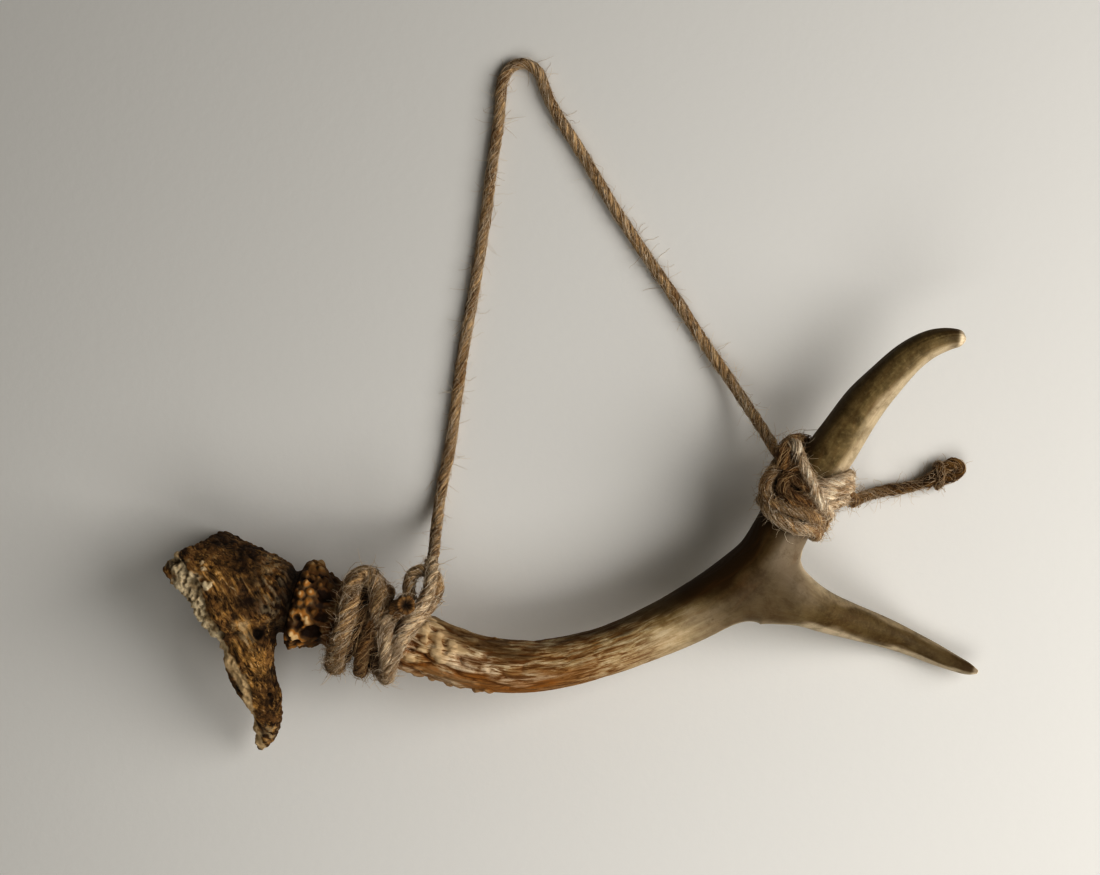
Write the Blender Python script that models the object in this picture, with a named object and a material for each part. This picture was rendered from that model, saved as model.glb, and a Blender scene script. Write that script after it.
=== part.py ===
"""A forked deer antler on its piece of skull, with the length of jute twine that is tied to it.

The antler lies down. +X runs from the skull towards the tines, +Y across, +Z up, and the floor is z = 0.
Lengths below are in millimetres, and MM turns them into Blender's metres.
"""

import math

import bmesh
import bpy
import numpy as np

MM = 0.001
# The middle of the antler's box in the stations' own frame, which the origin is moved to.
CENTRE = (0.217, -1.337, 0.0)

# The gap that separate solids keep where they meet.
GAP = 0.3
# The block below the floor that trims what would stand under it.
TRIM_BLOCK = (400.0, 300.0, 60.0)

# The twine: pulled straight, and where it is slack and fluffed up in its turns.
TWINE = 4.0
SLACK_TWINE = 5.2

# A limb's stations, from its root to its tip: x, y, z of its middle, half its width across the plane that
# the antler lies in, and half its thickness in height.
MAIN_LIMB = [
    (-101.4, -22.4, 26.0, 12.8, 12.6),
    (-82.0, -28.2, 26.0, 11.8, 11.6),
    (-63.3, -35.0, 26.3, 10.8, 10.6),
    (-48.5, -40.1, 26.6, 9.6, 9.8),
    (-35.6, -43.8, 27.0, 9.4, 9.5),
    (-21.7, -45.4, 27.3, 9.2, 9.3),
    (-0.8, -43.0, 27.5, 8.8, 9.1),
    (21.0, -36.0, 27.6, 9.1, 9.0),
    (44.2, -25.0, 27.6, 10.3, 9.0),
    (56.7, -17.1, 27.5, 10.9, 8.9),
    (67.5, -7.1, 27.5, 10.6, 8.6),
    (74.8, 6.0, 27.7, 9.9, 8.4),
    (82.8, 19.0, 28.6, 9.1, 8.3),
    (90.4, 30.6, 30.4, 8.7, 8.0),
    (96.5, 40.0, 32.4, 8.1, 7.6),
    (102.9, 49.4, 34.8, 7.4, 6.9),
    (109.6, 57.0, 37.2, 6.5, 6.2),
    (116.3, 63.9, 39.2, 5.7, 5.5),
    (122.6, 68.5, 40.4, 5.0, 4.9),
    (129.3, 71.2, 41.0, 4.2, 4.2),
    (134.3, 71.8, 41.0, 3.2, 3.2),
    (136.6, 71.6, 40.8, 2.0, 2.0),
    (137.5, 71.5, 40.7, 0.7, 0.7),
]
LOWER_TINE = [
    (56.0, -15.5, 27.5, 13.0, 8.4),
    (67.0, -17.2, 27.0, 13.6, 8.6),
    (76.0, -20.0, 25.6, 11.4, 8.3),
    (82.2, -22.9, 23.6, 8.9, 7.8),
    (88.5, -25.9, 20.7, 7.6, 7.1),
    (97.5, -29.4, 15.9, 6.7, 6.3),
    (107.9, -33.0, 10.4, 5.9, 5.5),
    (115.0, -35.5, 6.9, 5.4, 5.0),
    (121.1, -38.0, 4.8, 4.9, 4.6),
    (127.0, -40.6, 4.5, 4.4, 4.2),
    (132.6, -43.2, 5.0, 3.9, 3.7),
    (140.6, -46.8, 6.7, 2.9, 2.7),
    (145.5, -48.7, 8.0, 1.8, 1.7),
    (147.5, -49.3, 8.6, 0.8, 0.8),
]
# The bony process that runs down from the skull's piece, as a limb of its own.
SPUR = [
    (-116.0, -26.0, 28.0, 8.0, 9.0),
    (-117.0, -36.0, 29.0, 9.4, 8.4),
    (-117.2, -43.5, 28.0, 8.8, 6.8),
    (-115.2, -50.9, 26.0, 8.0, 5.4),
    (-112.7, -57.0, 23.5, 6.5, 4.6),
    (-111.8, -63.5, 20.0, 5.3, 4.0),
    (-112.3, -70.1, 16.0, 4.1, 3.2),
    (-114.6, -75.3, 12.8, 2.2, 2.0),
    (-115.6, -77.4, 11.6, 0.9, 0.9),
]

# Where the limbs are parted into nodes, along the main limb and along the lower tine.
UPPER_TINE_ROOT = 213.5
LOWER_TINE_ROOT = 31.0

# The burr: the knobbly ring at the antler's foot, as height over the beam along the main limb.
BURR_PROFILE = [(0.0, 0.4), (0.9, 3.2), (3.0, 4.6), (7.0, 4.5), (10.0, 3.3), (12.0, 1.4), (14.5, 0.2)]
BURR_LOBES = 9
BURR_LUMP = 1.3
# Long ridges on the lower beam: where they fade in and out, how many there are and their height.
RIDGES_FROM, RIDGES_FULL, RIDGES_FADE, RIDGES_END = 44.0, 52.0, 80.0, 122.0
RIDGE_COUNTS = (5, 8)
RIDGE_HEIGHT = 0.55
# Pearls, the knobs on the lower beam: place along it, angle round it in degrees, and height.
PEARLS = [
    (55.0, 176.0, 1.9),
    (61.0, 188.0, 1.6),
    (67.5, 172.0, 1.7),
    (74.0, 184.0, 1.4),
    (81.0, 175.0, 1.0),
    (58.0, 12.0, 2.1),
    (63.0, 52.0, 1.8),
    (60.0, 96.0, 1.5),
    (69.0, 118.0, 1.5),
    (77.0, 140.0, 1.1),
    (56.0, 236.0, 1.4),
    (65.0, 262.0, 1.5),
    (72.0, 300.0, 1.3),
    (80.0, 222.0, 1.0),
]
PEARL_SPREAD = 3.0

# The skull's piece, round the pedicle: angle in degrees, then the broken edge's outer corner and its inner
# corner, each as how far it lies out along the pedicle, across it, and its height. Angle 0 points to +Y and
# 90 up.
SKULL_RIM = [
    (0.0, 33.5, 16.2, 22.0, 36.5, 12.6, 21.0),
    (28.0, 37.5, 12.0, 34.0, 41.0, 8.0, 31.0),
    (48.0, 44.0, 6.8, 40.8, 47.8, 0.0, 37.5),
    (70.0, 37.5, 3.0, 44.0, 43.0, -4.2, 39.0),
    (95.0, 30.0, -1.6, 45.0, 36.5, -9.2, 38.0),
    (125.0, 23.5, -12.0, 42.0, 29.5, -15.2, 36.0),
    (150.0, 18.5, -20.0, 37.0, 22.5, -20.2, 32.0),
    (180.0, 15.0, -26.0, 26.0, 18.5, -23.0, 24.5),
    (208.0, 15.0, -22.0, 12.0, 19.5, -18.0, 13.0),
    (232.0, 19.0, -15.0, 1.0, 24.0, -12.0, 5.0),
    (258.0, 26.0, -5.0, -3.4, 31.0, -3.5, 1.6),
    (286.0, 30.5, 6.0, -3.6, 35.0, 4.4, 1.6),
    (318.0, 33.0, 15.6, -3.2, 37.0, 11.6, 2.4),
    (336.0, 33.4, 16.4, 8.0, 37.0, 12.6, 9.0),
]
NECK_RADIUS = 12.8
# How the flare widens from the neck to the rim: shares of the way out, and the power that the width follows.
FLARE_STEPS = (0.0, 0.1, 0.24, 0.4, 0.56, 0.72, 0.87, 1.0)
FLARE_POWER = 1.25
FLARE_ROUGH = 0.7
# The hollow inside: how far its middle lies out along the pedicle, and the shares of the way to it.
HOLLOW_FLOOR = 19.0
HOLLOW_STEPS = (0.35, 0.72)

# The turns at the burr, along the main limb.
LEFT_TURNS_START, LEFT_TURN_PITCH, LEFT_TURNS, LEFT_TURN_ANGLE = 16.4, 6.2, 4.2, -60.0
# The turns on the fork: they slant across the limb by this much either way.
RIGHT_TURNS_START, RIGHT_TURN_PITCH, RIGHT_TURNS, RIGHT_TURN_ANGLE = 205.9, 5.4, 2.8, -20.0
RIGHT_TURN_SLANT = 5.8
# How far a strand lies off the antler, besides half its thickness.
LEFT_LIFT, RIGHT_LIFT = 1.0, 0.8
TURN_POINTS = 16

# The hitch at the burr: a strand over the turns to a small ring, and the twine's cut end beside it.
HITCH_STRAND = [
    (-64.5, -51.0, 26.0),
    (-65.3, -46.0, 35.6),
    (-63.0, -39.0, 41.6),
    (-60.0, -31.0, 43.4),
    (-56.6, -24.4, 40.6),
    (-53.6, -19.4, 36.0),
]
HITCH_RING_CENTRE, HITCH_RING_RADIUS, HITCH_RING_TWINE = (-55.4, -16.6, 34.0), 4.2, 4.6
HITCH_RING_LEAN = 20.0
CUT_END = [(-57.0, -23.0, 38.0), (-60.4, -22.0, 39.6), (-63.6, -19.6, 40.6)]
# The crossing strand that holds the turns on the fork, which starts in a bump beside the limb.
CROSSING_STRAND = [
    (77.4, 33.8, 28.8),
    (76.4, 34.2, 33.8),
    (77.6, 31.4, 40.0),
    (79.6, 26.8, 44.2),
    (83.0, 18.6, 45.2),
    (86.8, 11.8, 43.2),
    (90.8, 7.4, 37.6),
]

# The hanging twine's route, from the hitch down to the floor, round its loop and up to the fork.
FLOOR_TWINE_Z = 2.15
HANGING_ROUTE = [
    (-52.2, -9.6, 29.0),
    (-51.4, -5.2, 22.6),
    (-51.2, 0.4, 13.6),
    (-50.7, 8.0, 5.6),
    (-49.5, 17.3, 2.4),
    (-47.2, 28.4, FLOOR_TWINE_Z),
    (-43.0, 58.0, FLOOR_TWINE_Z),
    (-38.1, 87.5, FLOOR_TWINE_Z),
    (-33.4, 117.1, FLOOR_TWINE_Z),
    (-29.9, 143.0, FLOOR_TWINE_Z),
    (-28.0, 157.0, FLOOR_TWINE_Z),
    (-27.3, 166.4, FLOOR_TWINE_Z),
    (-25.7, 171.2, FLOOR_TWINE_Z),
    (-22.0, 174.5, FLOOR_TWINE_Z),
    (-17.2, 174.6, FLOOR_TWINE_Z),
    (-13.5, 171.5, FLOOR_TWINE_Z),
    (-11.6, 166.6, FLOOR_TWINE_Z),
    (-7.8, 158.0, FLOOR_TWINE_Z),
    (0.0, 145.6, FLOOR_TWINE_Z),
    (13.2, 123.6, FLOOR_TWINE_Z),
    (26.1, 104.0, FLOOR_TWINE_Z),
    (40.1, 83.4, FLOOR_TWINE_Z),
    (48.2, 70.8, 2.3),
    (55.5, 60.0, 4.6),
    (62.1, 49.6, 9.4),
    (67.0, 41.3, 16.2),
    (70.6, 34.4, 23.6),
]
HANGING_POINTS = 72
# The tail's route, from under the turns on the fork to its knot on the floor.
TAIL_ROUTE = [
    (101.6, 13.4, 12.8),
    (104.4, 14.4, 8.4),
    (108.6, 15.6, 4.6),
    (114.6, 17.0, 2.5),
    (122.2, 18.2, 2.2),
    (128.0, 20.0, 2.3),
    (131.6, 21.9, 3.0),
]
TAIL_POINTS = 14
# The tail's end knot, and half its length, width and height.
TAIL_KNOT_CENTRE, TAIL_KNOT_HALF, TAIL_KNOT_TURN = (138.4, 24.3, 4.1), (6.1, 4.9, 4.0), 19.0

# Colours as linear red, green and blue, with roughness.
ANTLER_BONE = (0.42, 0.34, 0.22, 0.55)
TINE_BONE = (0.40, 0.35, 0.25, 0.45)
SKULL_BONE = (0.25, 0.16, 0.08, 0.75)
JUTE = (0.38, 0.27, 0.15, 0.95)


def clear_scene():
    for thing in list(bpy.data.objects):
        bpy.data.objects.remove(thing, do_unlink=True)


def collection(name):
    made = bpy.data.collections.new(name)
    bpy.context.scene.collection.children.link(made)
    return made


def metres(points):
    """Points in the stations' frame, in millimetres, as points in Blender's."""
    return (np.asarray(points, float) - np.array(CENTRE)) * MM


def finish_of(name, colour):
    """A material named for its part, with the part's own colour and roughness."""
    made = bpy.data.materials.new(name)
    made.use_nodes = True
    shader = made.node_tree.nodes["Principled BSDF"]
    shader.inputs["Base Color"].default_value = (*colour[:3], 1.0)
    shader.inputs["Roughness"].default_value = colour[3]
    shader.inputs["Metallic"].default_value = 0.0
    return made


def natural_spline(knots, values, at):
    """The natural cubic spline through the values at the knots, read at other places."""
    knots, values, at = (np.asarray(x, float) for x in (knots, values, at))
    gaps = np.diff(knots)
    slopes = np.diff(values, axis=0) / gaps[:, None]
    matrix, right = np.eye(len(knots)), np.zeros_like(values)
    for i in range(1, len(knots) - 1):
        matrix[i, i - 1 : i + 2] = gaps[i - 1], 2 * (gaps[i - 1] + gaps[i]), gaps[i]
        right[i] = 6 * (slopes[i] - slopes[i - 1])
    bend = np.linalg.solve(matrix, right)
    i = np.clip(np.searchsorted(knots, at) - 1, 0, len(gaps) - 1)
    after, before = (at - knots[i])[:, None], (knots[i + 1] - at)[:, None]
    gap = gaps[i][:, None]
    return (
        (bend[i] * before**3 + bend[i + 1] * after**3) / (6 * gap)
        + (values[i] / gap - bend[i] * gap / 6) * before
        + (values[i + 1] / gap - bend[i + 1] * gap / 6) * after
    )


def distances(points):
    steps = np.linalg.norm(np.diff(np.asarray(points, float)[:, :3], axis=0), axis=1)
    return np.concatenate([[0.0], np.cumsum(steps)])


class Limb:
    """A limb's middle line and its oval section, read at any distance along it."""

    def __init__(self, stations):
        self.stations = np.array(stations, float)
        self.knots = distances(stations)
        self.length = self.knots[-1]

    def read(self, along):
        """Middle points, the directions along, across and over, and the section's two half widths."""
        along = np.atleast_1d(np.asarray(along, float))
        rows = natural_spline(self.knots, self.stations, along)
        near = 0.2
        ahead = natural_spline(self.knots, self.stations[:, :3], np.minimum(along + near, self.length))
        behind = natural_spline(self.knots, self.stations[:, :3], np.maximum(along - near, 0.0))
        forward = (ahead - behind) / np.linalg.norm(ahead - behind, axis=1)[:, None]
        across = np.cross([0.0, 0.0, 1.0], forward)
        across /= np.linalg.norm(across, axis=1)[:, None]
        over = np.cross(forward, across)
        return rows[:, :3], forward, across, over, np.maximum(rows[:, 3:], 0.3)

    def surface(self, along, angle, proud=0.0):
        """Points on the limb, one for each pair of distance and angle, standing proud by a height."""
        middle, _, across, over, half = self.read(along)
        cosine, sine = np.cos(angle)[:, None], np.sin(angle)[:, None]
        wide = (half[:, :1] + np.reshape(proud, (-1, 1))) * cosine
        high = (half[:, 1:] + np.reshape(proud, (-1, 1))) * sine
        return middle + across * wide + over * high


def fade(value, start, full):
    """0 before start and 1 after full, smooth between them."""
    share = np.clip((value - start) / (full - start), 0.0, 1.0)
    return share * share * (3 - 2 * share)


def main_relief(along, angle):
    """How far the main limb's surface stands over its oval section: the burr, the ridges and the pearls."""
    burr = np.interp(along, *zip(*BURR_PROFILE, strict=True))
    lumps = np.cos(BURR_LOBES * angle + 0.55 * along) * np.cos(0.9 * along - 2.0 * np.sin(2 * angle))
    relief = burr * (1 + 0.25 * np.sin(3 * angle + 1.0)) + BURR_LUMP * lumps * np.clip(burr / 3.0, 0, 1)
    long_ridges = sum(np.cos(n * angle + 0.03 * n * along + n) for n in RIDGE_COUNTS)
    strength = fade(along, RIDGES_FROM, RIDGES_FULL) * (1 - fade(along, RIDGES_FADE, RIDGES_END))
    relief = relief + RIDGE_HEIGHT * strength * long_ridges
    for place, degrees, height in PEARLS:
        turn = np.angle(np.exp(1j * (angle - math.radians(degrees)))) * 10.5
        relief = relief + height * np.exp(-((along - place) ** 2 + turn**2) / PEARL_SPREAD**2)
    return relief


def rings_of(limb, along, sides, relief=None):
    """Rings of points round a limb at each distance along it."""
    angles = np.arange(sides) * 2 * math.pi / sides
    rings = []
    for place in along:
        places = np.full(sides, place)
        proud = relief(places, angles) if relief else np.zeros(sides)
        rings.append(limb.surface(places, angles, proud))
    return np.array(rings)


def loft(name, rings, first=None, last=None):
    """A closed solid through rings of equal count: quads between them, and a fan at each end."""
    count, sides = rings.shape[:2]
    first = rings[0].mean(axis=0) if first is None else first
    last = rings[-1].mean(axis=0) if last is None else last
    points = metres(np.vstack([rings.reshape(-1, 3), [first, last]]))
    here = np.arange(sides)
    beside = (here + 1) % sides
    faces = []
    for row in range(count - 1):
        a, b = row * sides, (row + 1) * sides
        faces += np.stack([a + here, a + beside, b + beside, b + here], axis=1).tolist()
    faces += np.stack([beside, here, np.full(sides, count * sides)], axis=1).tolist()
    top = (count - 1) * sides
    faces += np.stack([top + here, top + beside, np.full(sides, count * sides + 1)], axis=1).tolist()
    mesh = bpy.data.meshes.new(name)
    mesh.from_pydata(points.tolist(), [], faces)
    shape = bmesh.new()
    shape.from_mesh(mesh)
    bmesh.ops.recalc_face_normals(shape, faces=shape.faces)
    shape.to_mesh(mesh)
    shape.free()
    mesh.shade_smooth()
    return bpy.data.objects.new(name, mesh)


def tube(name, points, diameter):
    """A poly curve with a round bevel and filled caps."""
    data = bpy.data.curves.new(name, "CURVE")
    data.dimensions = "3D"
    data.bevel_depth = diameter / 2 * MM
    data.bevel_resolution = 2
    data.use_fill_caps = True
    spline = data.splines.new("POLY")
    spline.points.add(len(points) - 1)
    for place, point in zip(spline.points, metres(points), strict=True):
        place.co = (*point, 1.0)
    return bpy.data.objects.new(name, data)


def evenly(route, count):
    """Points evenly spaced along the smooth curve through a route's own points."""
    route = np.array(route, float)
    fine = natural_spline(distances(route), route, np.linspace(0.0, distances(route)[-1], 40 * count))
    along = distances(fine)
    at = np.linspace(0.0, along[-1], count)
    return np.stack([np.interp(at, along, fine[:, k]) for k in range(3)], axis=1)


def as_mesh(thing, home):
    """The evaluated mesh of an object, with a tube's caps welded, in place of the object."""
    home.objects.link(thing)
    bpy.context.view_layer.update()
    evaluated = thing.evaluated_get(bpy.context.evaluated_depsgraph_get())
    mesh = bpy.data.meshes.new_from_object(evaluated)
    shape = bmesh.new()
    shape.from_mesh(mesh)
    bmesh.ops.remove_doubles(shape, verts=shape.verts, dist=1e-6)
    shape.to_mesh(mesh)
    shape.free()
    name = thing.name
    made = bpy.data.objects.new(name + "_mesh", mesh)
    made.matrix_world = thing.matrix_world
    bpy.data.objects.remove(thing, do_unlink=True)
    made.name = name
    return made


def boolean(target, tool, operation, helpers):
    """Joins or cuts target with tool, which stays as a hidden helper."""
    tool.hide_render = True
    tool.display_type = "WIRE"
    helpers.objects.link(tool)
    change = target.modifiers.new(operation.lower() + "_" + tool.name, "BOOLEAN")
    change.operation = operation
    change.solver = "EXACT"
    change.object = tool


def place(thing, home, finish):
    """Puts a finished part in the object's collection with its material."""
    home.objects.link(thing)
    thing.data.materials.clear()
    thing.data.materials.append(finish)


def loose(name):
    """The object that an operator just made, named and in no collection."""
    thing = bpy.context.object
    thing.name = name
    for holder in list(thing.users_collection):
        holder.objects.unlink(thing)
    return thing


def floor_cutter():
    """A block whose top is the floor, which takes off what would stand below it."""
    bpy.ops.mesh.primitive_cube_add(size=1.0, location=(0.0, 0.0, -TRIM_BLOCK[2] / 2 * MM))
    block = loose("floor_cutter")
    block.scale = tuple(x * MM for x in TRIM_BLOCK)
    return block


def build_beam(home, helpers):
    """The antler from its burr to the fork, with the stub that the lower tine grows from."""
    limb, tine = Limb(MAIN_LIMB), Limb(LOWER_TINE)
    burr = np.array([GAP, 0.9, 2.0, 3.4, 5.0, 6.6, 8.2, 9.8, 11.4, 13.4])
    rough = np.arange(17.0, 88.0, 3.0)
    smooth = np.linspace(88.0, UPPER_TINE_ROOT - GAP / 2, 18)
    beam = loft("beam", rings_of(limb, np.concatenate([burr, rough, smooth]), 26, main_relief))
    stub = loft("fork_stub", rings_of(tine, np.linspace(0.0, LOWER_TINE_ROOT - GAP / 2, 7), 18))
    boolean(beam, stub, "UNION", helpers)
    place(beam, home, finish_of("beam_bone", ANTLER_BONE))


def build_tine(name, limb, root, rows, sides, home, finish):
    """The rest of a limb beyond the place where it is parted, with rings closer together at its tip."""
    root = root + GAP / 2
    along = root + (limb.length - root) * np.linspace(0.0, 1.0, rows) ** 0.8
    place(loft(name, rings_of(limb, along, sides)), home, finish)


def skull_frame():
    """The pedicle's end, and the directions out along it, across it and up."""
    middle, forward, across, over, _ = Limb(MAIN_LIMB).read([0.0])
    return middle[0], -forward[0], across[0], over[0]


def skull_rings(sides):
    """Rings from the neck out to the broken rim, over its edge and into the hollow."""
    foot, out, across, up = skull_frame()
    degrees = np.arange(sides) * 360.0 / sides
    angle = np.radians(degrees)
    rim = np.array(SKULL_RIM)
    rows = np.stack([np.interp(degrees, rim[:, 0], rim[:, k], period=360.0) for k in range(1, 7)])
    reach, side, height = rows[0], rows[1], rows[2] - foot[2]
    inner_reach, inner_side, inner_height = rows[3], rows[4], rows[5] - foot[2]
    neck_side, neck_height = NECK_RADIUS * np.cos(angle), NECK_RADIUS * np.sin(angle)

    def ring(along, wide, high):
        return foot + np.outer(along, out) + np.outer(wide, across) + np.outer(high, up)

    rings = []
    for share in FLARE_STEPS:
        width = share**FLARE_POWER
        waves = np.sin(5 * angle + 9 * share) * np.cos(3 * angle - 4 * share)
        rough = FLARE_ROUGH * math.sin(math.pi * share) * waves
        wide = neck_side + (side - neck_side) * width + rough * np.cos(angle)
        high = neck_height + (height - neck_height) * width + rough * np.sin(angle)
        rings.append(ring(np.maximum(reach * share, 0.0), wide, high))
    rings.append(ring(inner_reach, inner_side, inner_height))
    for share in HOLLOW_STEPS:
        along = inner_reach * (1 - share) + HOLLOW_FLOOR * share
        rings.append(ring(along, inner_side * (1 - share), inner_height * (1 - share)))
    return np.array(rings), foot, foot + out * HOLLOW_FLOOR


def build_skull(home, helpers):
    """The pedicle and the piece of frontal bone round it, with its spur, flat where it stands."""
    rings, foot, hollow = skull_rings(30)
    skull = loft("skull_fragment", rings, first=foot, last=hollow)
    spur_limb = Limb(SPUR)
    spur = loft("spur", rings_of(spur_limb, spur_limb.length * np.linspace(0.0, 1.0, 13) ** 0.9, 14))
    boolean(skull, spur, "UNION", helpers)
    boolean(skull, floor_cutter(), "DIFFERENCE", helpers)
    place(skull, home, finish_of("skull_bone", SKULL_BONE))


def turns(start, pitch, count, first_angle, slant, lift):
    """The middle line of twine wound round the main limb: an even helix that may slant across it."""
    share = np.linspace(0.0, 1.0, round(count * TURN_POINTS) + 1)
    angle = math.radians(first_angle) + share * count * 2 * math.pi
    along = start + pitch * count * share - slant * np.cos(angle)
    return Limb(MAIN_LIMB).surface(along, angle, SLACK_TWINE / 2 + lift)


def torus(name, centre, radius, diameter, lean):
    """A ring of twine, leaning about the X direction."""
    bpy.ops.mesh.primitive_torus_add(
        location=metres(centre),
        rotation=(math.radians(lean), 0.0, 0.0),
        major_radius=radius * MM,
        minor_radius=diameter / 2 * MM,
        major_segments=16,
        minor_segments=8,
    )
    return loose(name)


def build_burr_binding(home, helpers, finish):
    """The turns at the burr and their hitch: strand, ring and cut end, as one piece of twine."""
    path = turns(LEFT_TURNS_START, LEFT_TURN_PITCH, LEFT_TURNS, LEFT_TURN_ANGLE, 0.0, LEFT_LIFT)
    binding = as_mesh(tube("burr_binding", path, SLACK_TWINE), helpers)
    strand = as_mesh(tube("hitch_strand", evenly(HITCH_STRAND, 12), SLACK_TWINE), helpers)
    end = as_mesh(tube("cut_end", evenly(CUT_END, 5), SLACK_TWINE), helpers)
    ring = torus("hitch_ring", HITCH_RING_CENTRE, HITCH_RING_RADIUS, HITCH_RING_TWINE, HITCH_RING_LEAN)
    for tool in (strand, ring, end):
        boolean(binding, tool, "UNION", helpers)
    place(binding, home, finish)


def build_fork_binding(home, helpers, finish):
    """The turns on the fork and the strand that crosses over them."""
    path = turns(
        RIGHT_TURNS_START, RIGHT_TURN_PITCH, RIGHT_TURNS, RIGHT_TURN_ANGLE, RIGHT_TURN_SLANT, RIGHT_LIFT
    )
    binding = as_mesh(tube("fork_binding", path, SLACK_TWINE), helpers)
    strand = as_mesh(tube("crossing_strand", evenly(CROSSING_STRAND, 14), SLACK_TWINE), helpers)
    boolean(binding, strand, "UNION", helpers)
    place(binding, home, finish)


def build_free_twine(home, finish):
    """The hanging loop and the tail, which lie on the floor."""
    place(tube("hanging_twine", evenly(HANGING_ROUTE, HANGING_POINTS), TWINE), home, finish)
    place(tube("tail_twine", evenly(TAIL_ROUTE, TAIL_POINTS), TWINE), home, finish)


def build_tail_knot(home, finish):
    bpy.ops.mesh.primitive_uv_sphere_add(segments=14, ring_count=8, radius=1.0)
    knot = loose("tail_knot")
    knot.scale = tuple(x * MM for x in TAIL_KNOT_HALF)
    knot.rotation_euler = (0.0, 0.0, math.radians(TAIL_KNOT_TURN))
    knot.location = metres(TAIL_KNOT_CENTRE)
    knot.data.shade_smooth()
    place(knot, home, finish)


def main():
    clear_scene()
    home, helpers = collection("deer_antler"), collection("helpers")
    build_beam(home, helpers)
    tine_bone = finish_of("tine_bone", TINE_BONE)
    build_tine("upper_tine", Limb(MAIN_LIMB), UPPER_TINE_ROOT, 15, 18, home, tine_bone)
    build_tine("lower_tine", Limb(LOWER_TINE), LOWER_TINE_ROOT, 15, 16, home, tine_bone)
    build_skull(home, helpers)
    jute = finish_of("jute", JUTE)
    build_burr_binding(home, helpers, jute)
    build_fork_binding(home, helpers, jute)
    build_free_twine(home, jute)
    build_tail_knot(home, jute)


main()
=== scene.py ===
"""A forked deer antler with its pedicle and skull fragment, tied with jute twine, seen from straight above.

Lengths are in millimetres in the frame of the tables below and become metres in the part's frame in metres().
Each limb, strand and fibre is a section carried along a middle line; the relief of the bone is added to it
as a height over that section. Angles round a limb are 0 on its upper edge in the picture, 90 towards the
camera and 180 on its lower edge.
"""

import math

import bpy
import numpy as np
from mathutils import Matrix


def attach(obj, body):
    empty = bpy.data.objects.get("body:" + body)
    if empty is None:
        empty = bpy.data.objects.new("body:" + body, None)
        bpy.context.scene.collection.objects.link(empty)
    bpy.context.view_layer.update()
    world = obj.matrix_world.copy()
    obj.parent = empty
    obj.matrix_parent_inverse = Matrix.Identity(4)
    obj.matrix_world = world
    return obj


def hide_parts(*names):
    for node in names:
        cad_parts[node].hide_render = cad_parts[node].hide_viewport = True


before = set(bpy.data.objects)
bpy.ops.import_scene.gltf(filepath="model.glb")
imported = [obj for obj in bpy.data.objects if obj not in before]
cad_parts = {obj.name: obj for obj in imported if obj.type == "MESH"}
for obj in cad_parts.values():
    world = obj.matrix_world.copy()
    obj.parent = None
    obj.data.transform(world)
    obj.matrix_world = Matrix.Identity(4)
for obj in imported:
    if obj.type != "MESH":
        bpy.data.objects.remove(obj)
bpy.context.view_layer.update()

MM = 0.001
# The part's origin in the tables' frame, and straight up in both.
CENTRE = (0.217, -1.337, 0.0)
UP = (0.0, 0.0, 1.0)

# The limbs: x, y, z of the middle line, half width, half thickness. The main limb goes from the pedicle to
# the upper tine's tip.
MAIN_LIMB = [
    (-101.4, -22.4, 26.0, 12.8, 12.6),
    (-82.0, -28.2, 26.0, 11.8, 11.6),
    (-63.3, -35.0, 26.3, 10.8, 10.6),
    (-48.5, -40.1, 26.6, 9.6, 9.8),
    (-35.6, -43.8, 27.0, 9.4, 9.5),
    (-21.7, -45.4, 27.3, 9.2, 9.3),
    (-0.8, -43.0, 27.5, 8.8, 9.1),
    (21.0, -36.0, 27.6, 9.1, 9.0),
    (44.2, -25.0, 27.6, 10.3, 9.0),
    (56.7, -17.1, 27.5, 10.9, 8.9),
    (67.5, -7.1, 27.5, 10.6, 8.6),
    (74.8, 6.0, 27.7, 9.9, 8.4),
    (82.8, 19.0, 28.6, 9.1, 8.3),
    (90.4, 30.6, 30.4, 8.7, 8.0),
    (96.5, 40.0, 32.4, 8.1, 7.6),
    (102.9, 49.4, 34.8, 7.4, 6.9),
    (109.6, 57.0, 37.2, 6.5, 6.2),
    (116.3, 63.9, 39.2, 5.7, 5.5),
    (122.6, 68.5, 40.4, 5.0, 4.9),
    (129.3, 71.2, 41.0, 4.2, 4.2),
    (134.3, 71.8, 41.0, 3.2, 3.2),
    (136.6, 71.6, 40.8, 2.0, 2.0),
    (137.5, 71.5, 40.7, 0.7, 0.7),
]
LOWER_TINE = [
    (44.0, -24.6, 27.5, 3.0, 3.0),
    (51.0, -21.6, 27.5, 6.4, 5.4),
    (58.5, -18.6, 27.3, 10.6, 7.6),
    (67.0, -17.2, 27.0, 13.2, 8.6),
    (76.0, -20.0, 25.6, 11.4, 8.3),
    (82.2, -22.9, 23.6, 8.9, 7.8),
    (88.5, -25.9, 20.7, 7.6, 7.1),
    (97.5, -29.4, 15.9, 6.7, 6.3),
    (107.9, -33.0, 10.4, 5.9, 5.5),
    (115.0, -35.5, 6.9, 5.4, 5.0),
    (121.1, -38.0, 4.8, 4.9, 4.6),
    (127.0, -40.6, 4.5, 4.4, 4.2),
    (132.6, -43.2, 5.0, 3.9, 3.7),
    (140.6, -46.8, 6.7, 2.9, 2.7),
    (145.5, -48.7, 8.0, 1.8, 1.7),
    (147.5, -49.3, 8.6, 0.8, 0.8),
]
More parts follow.
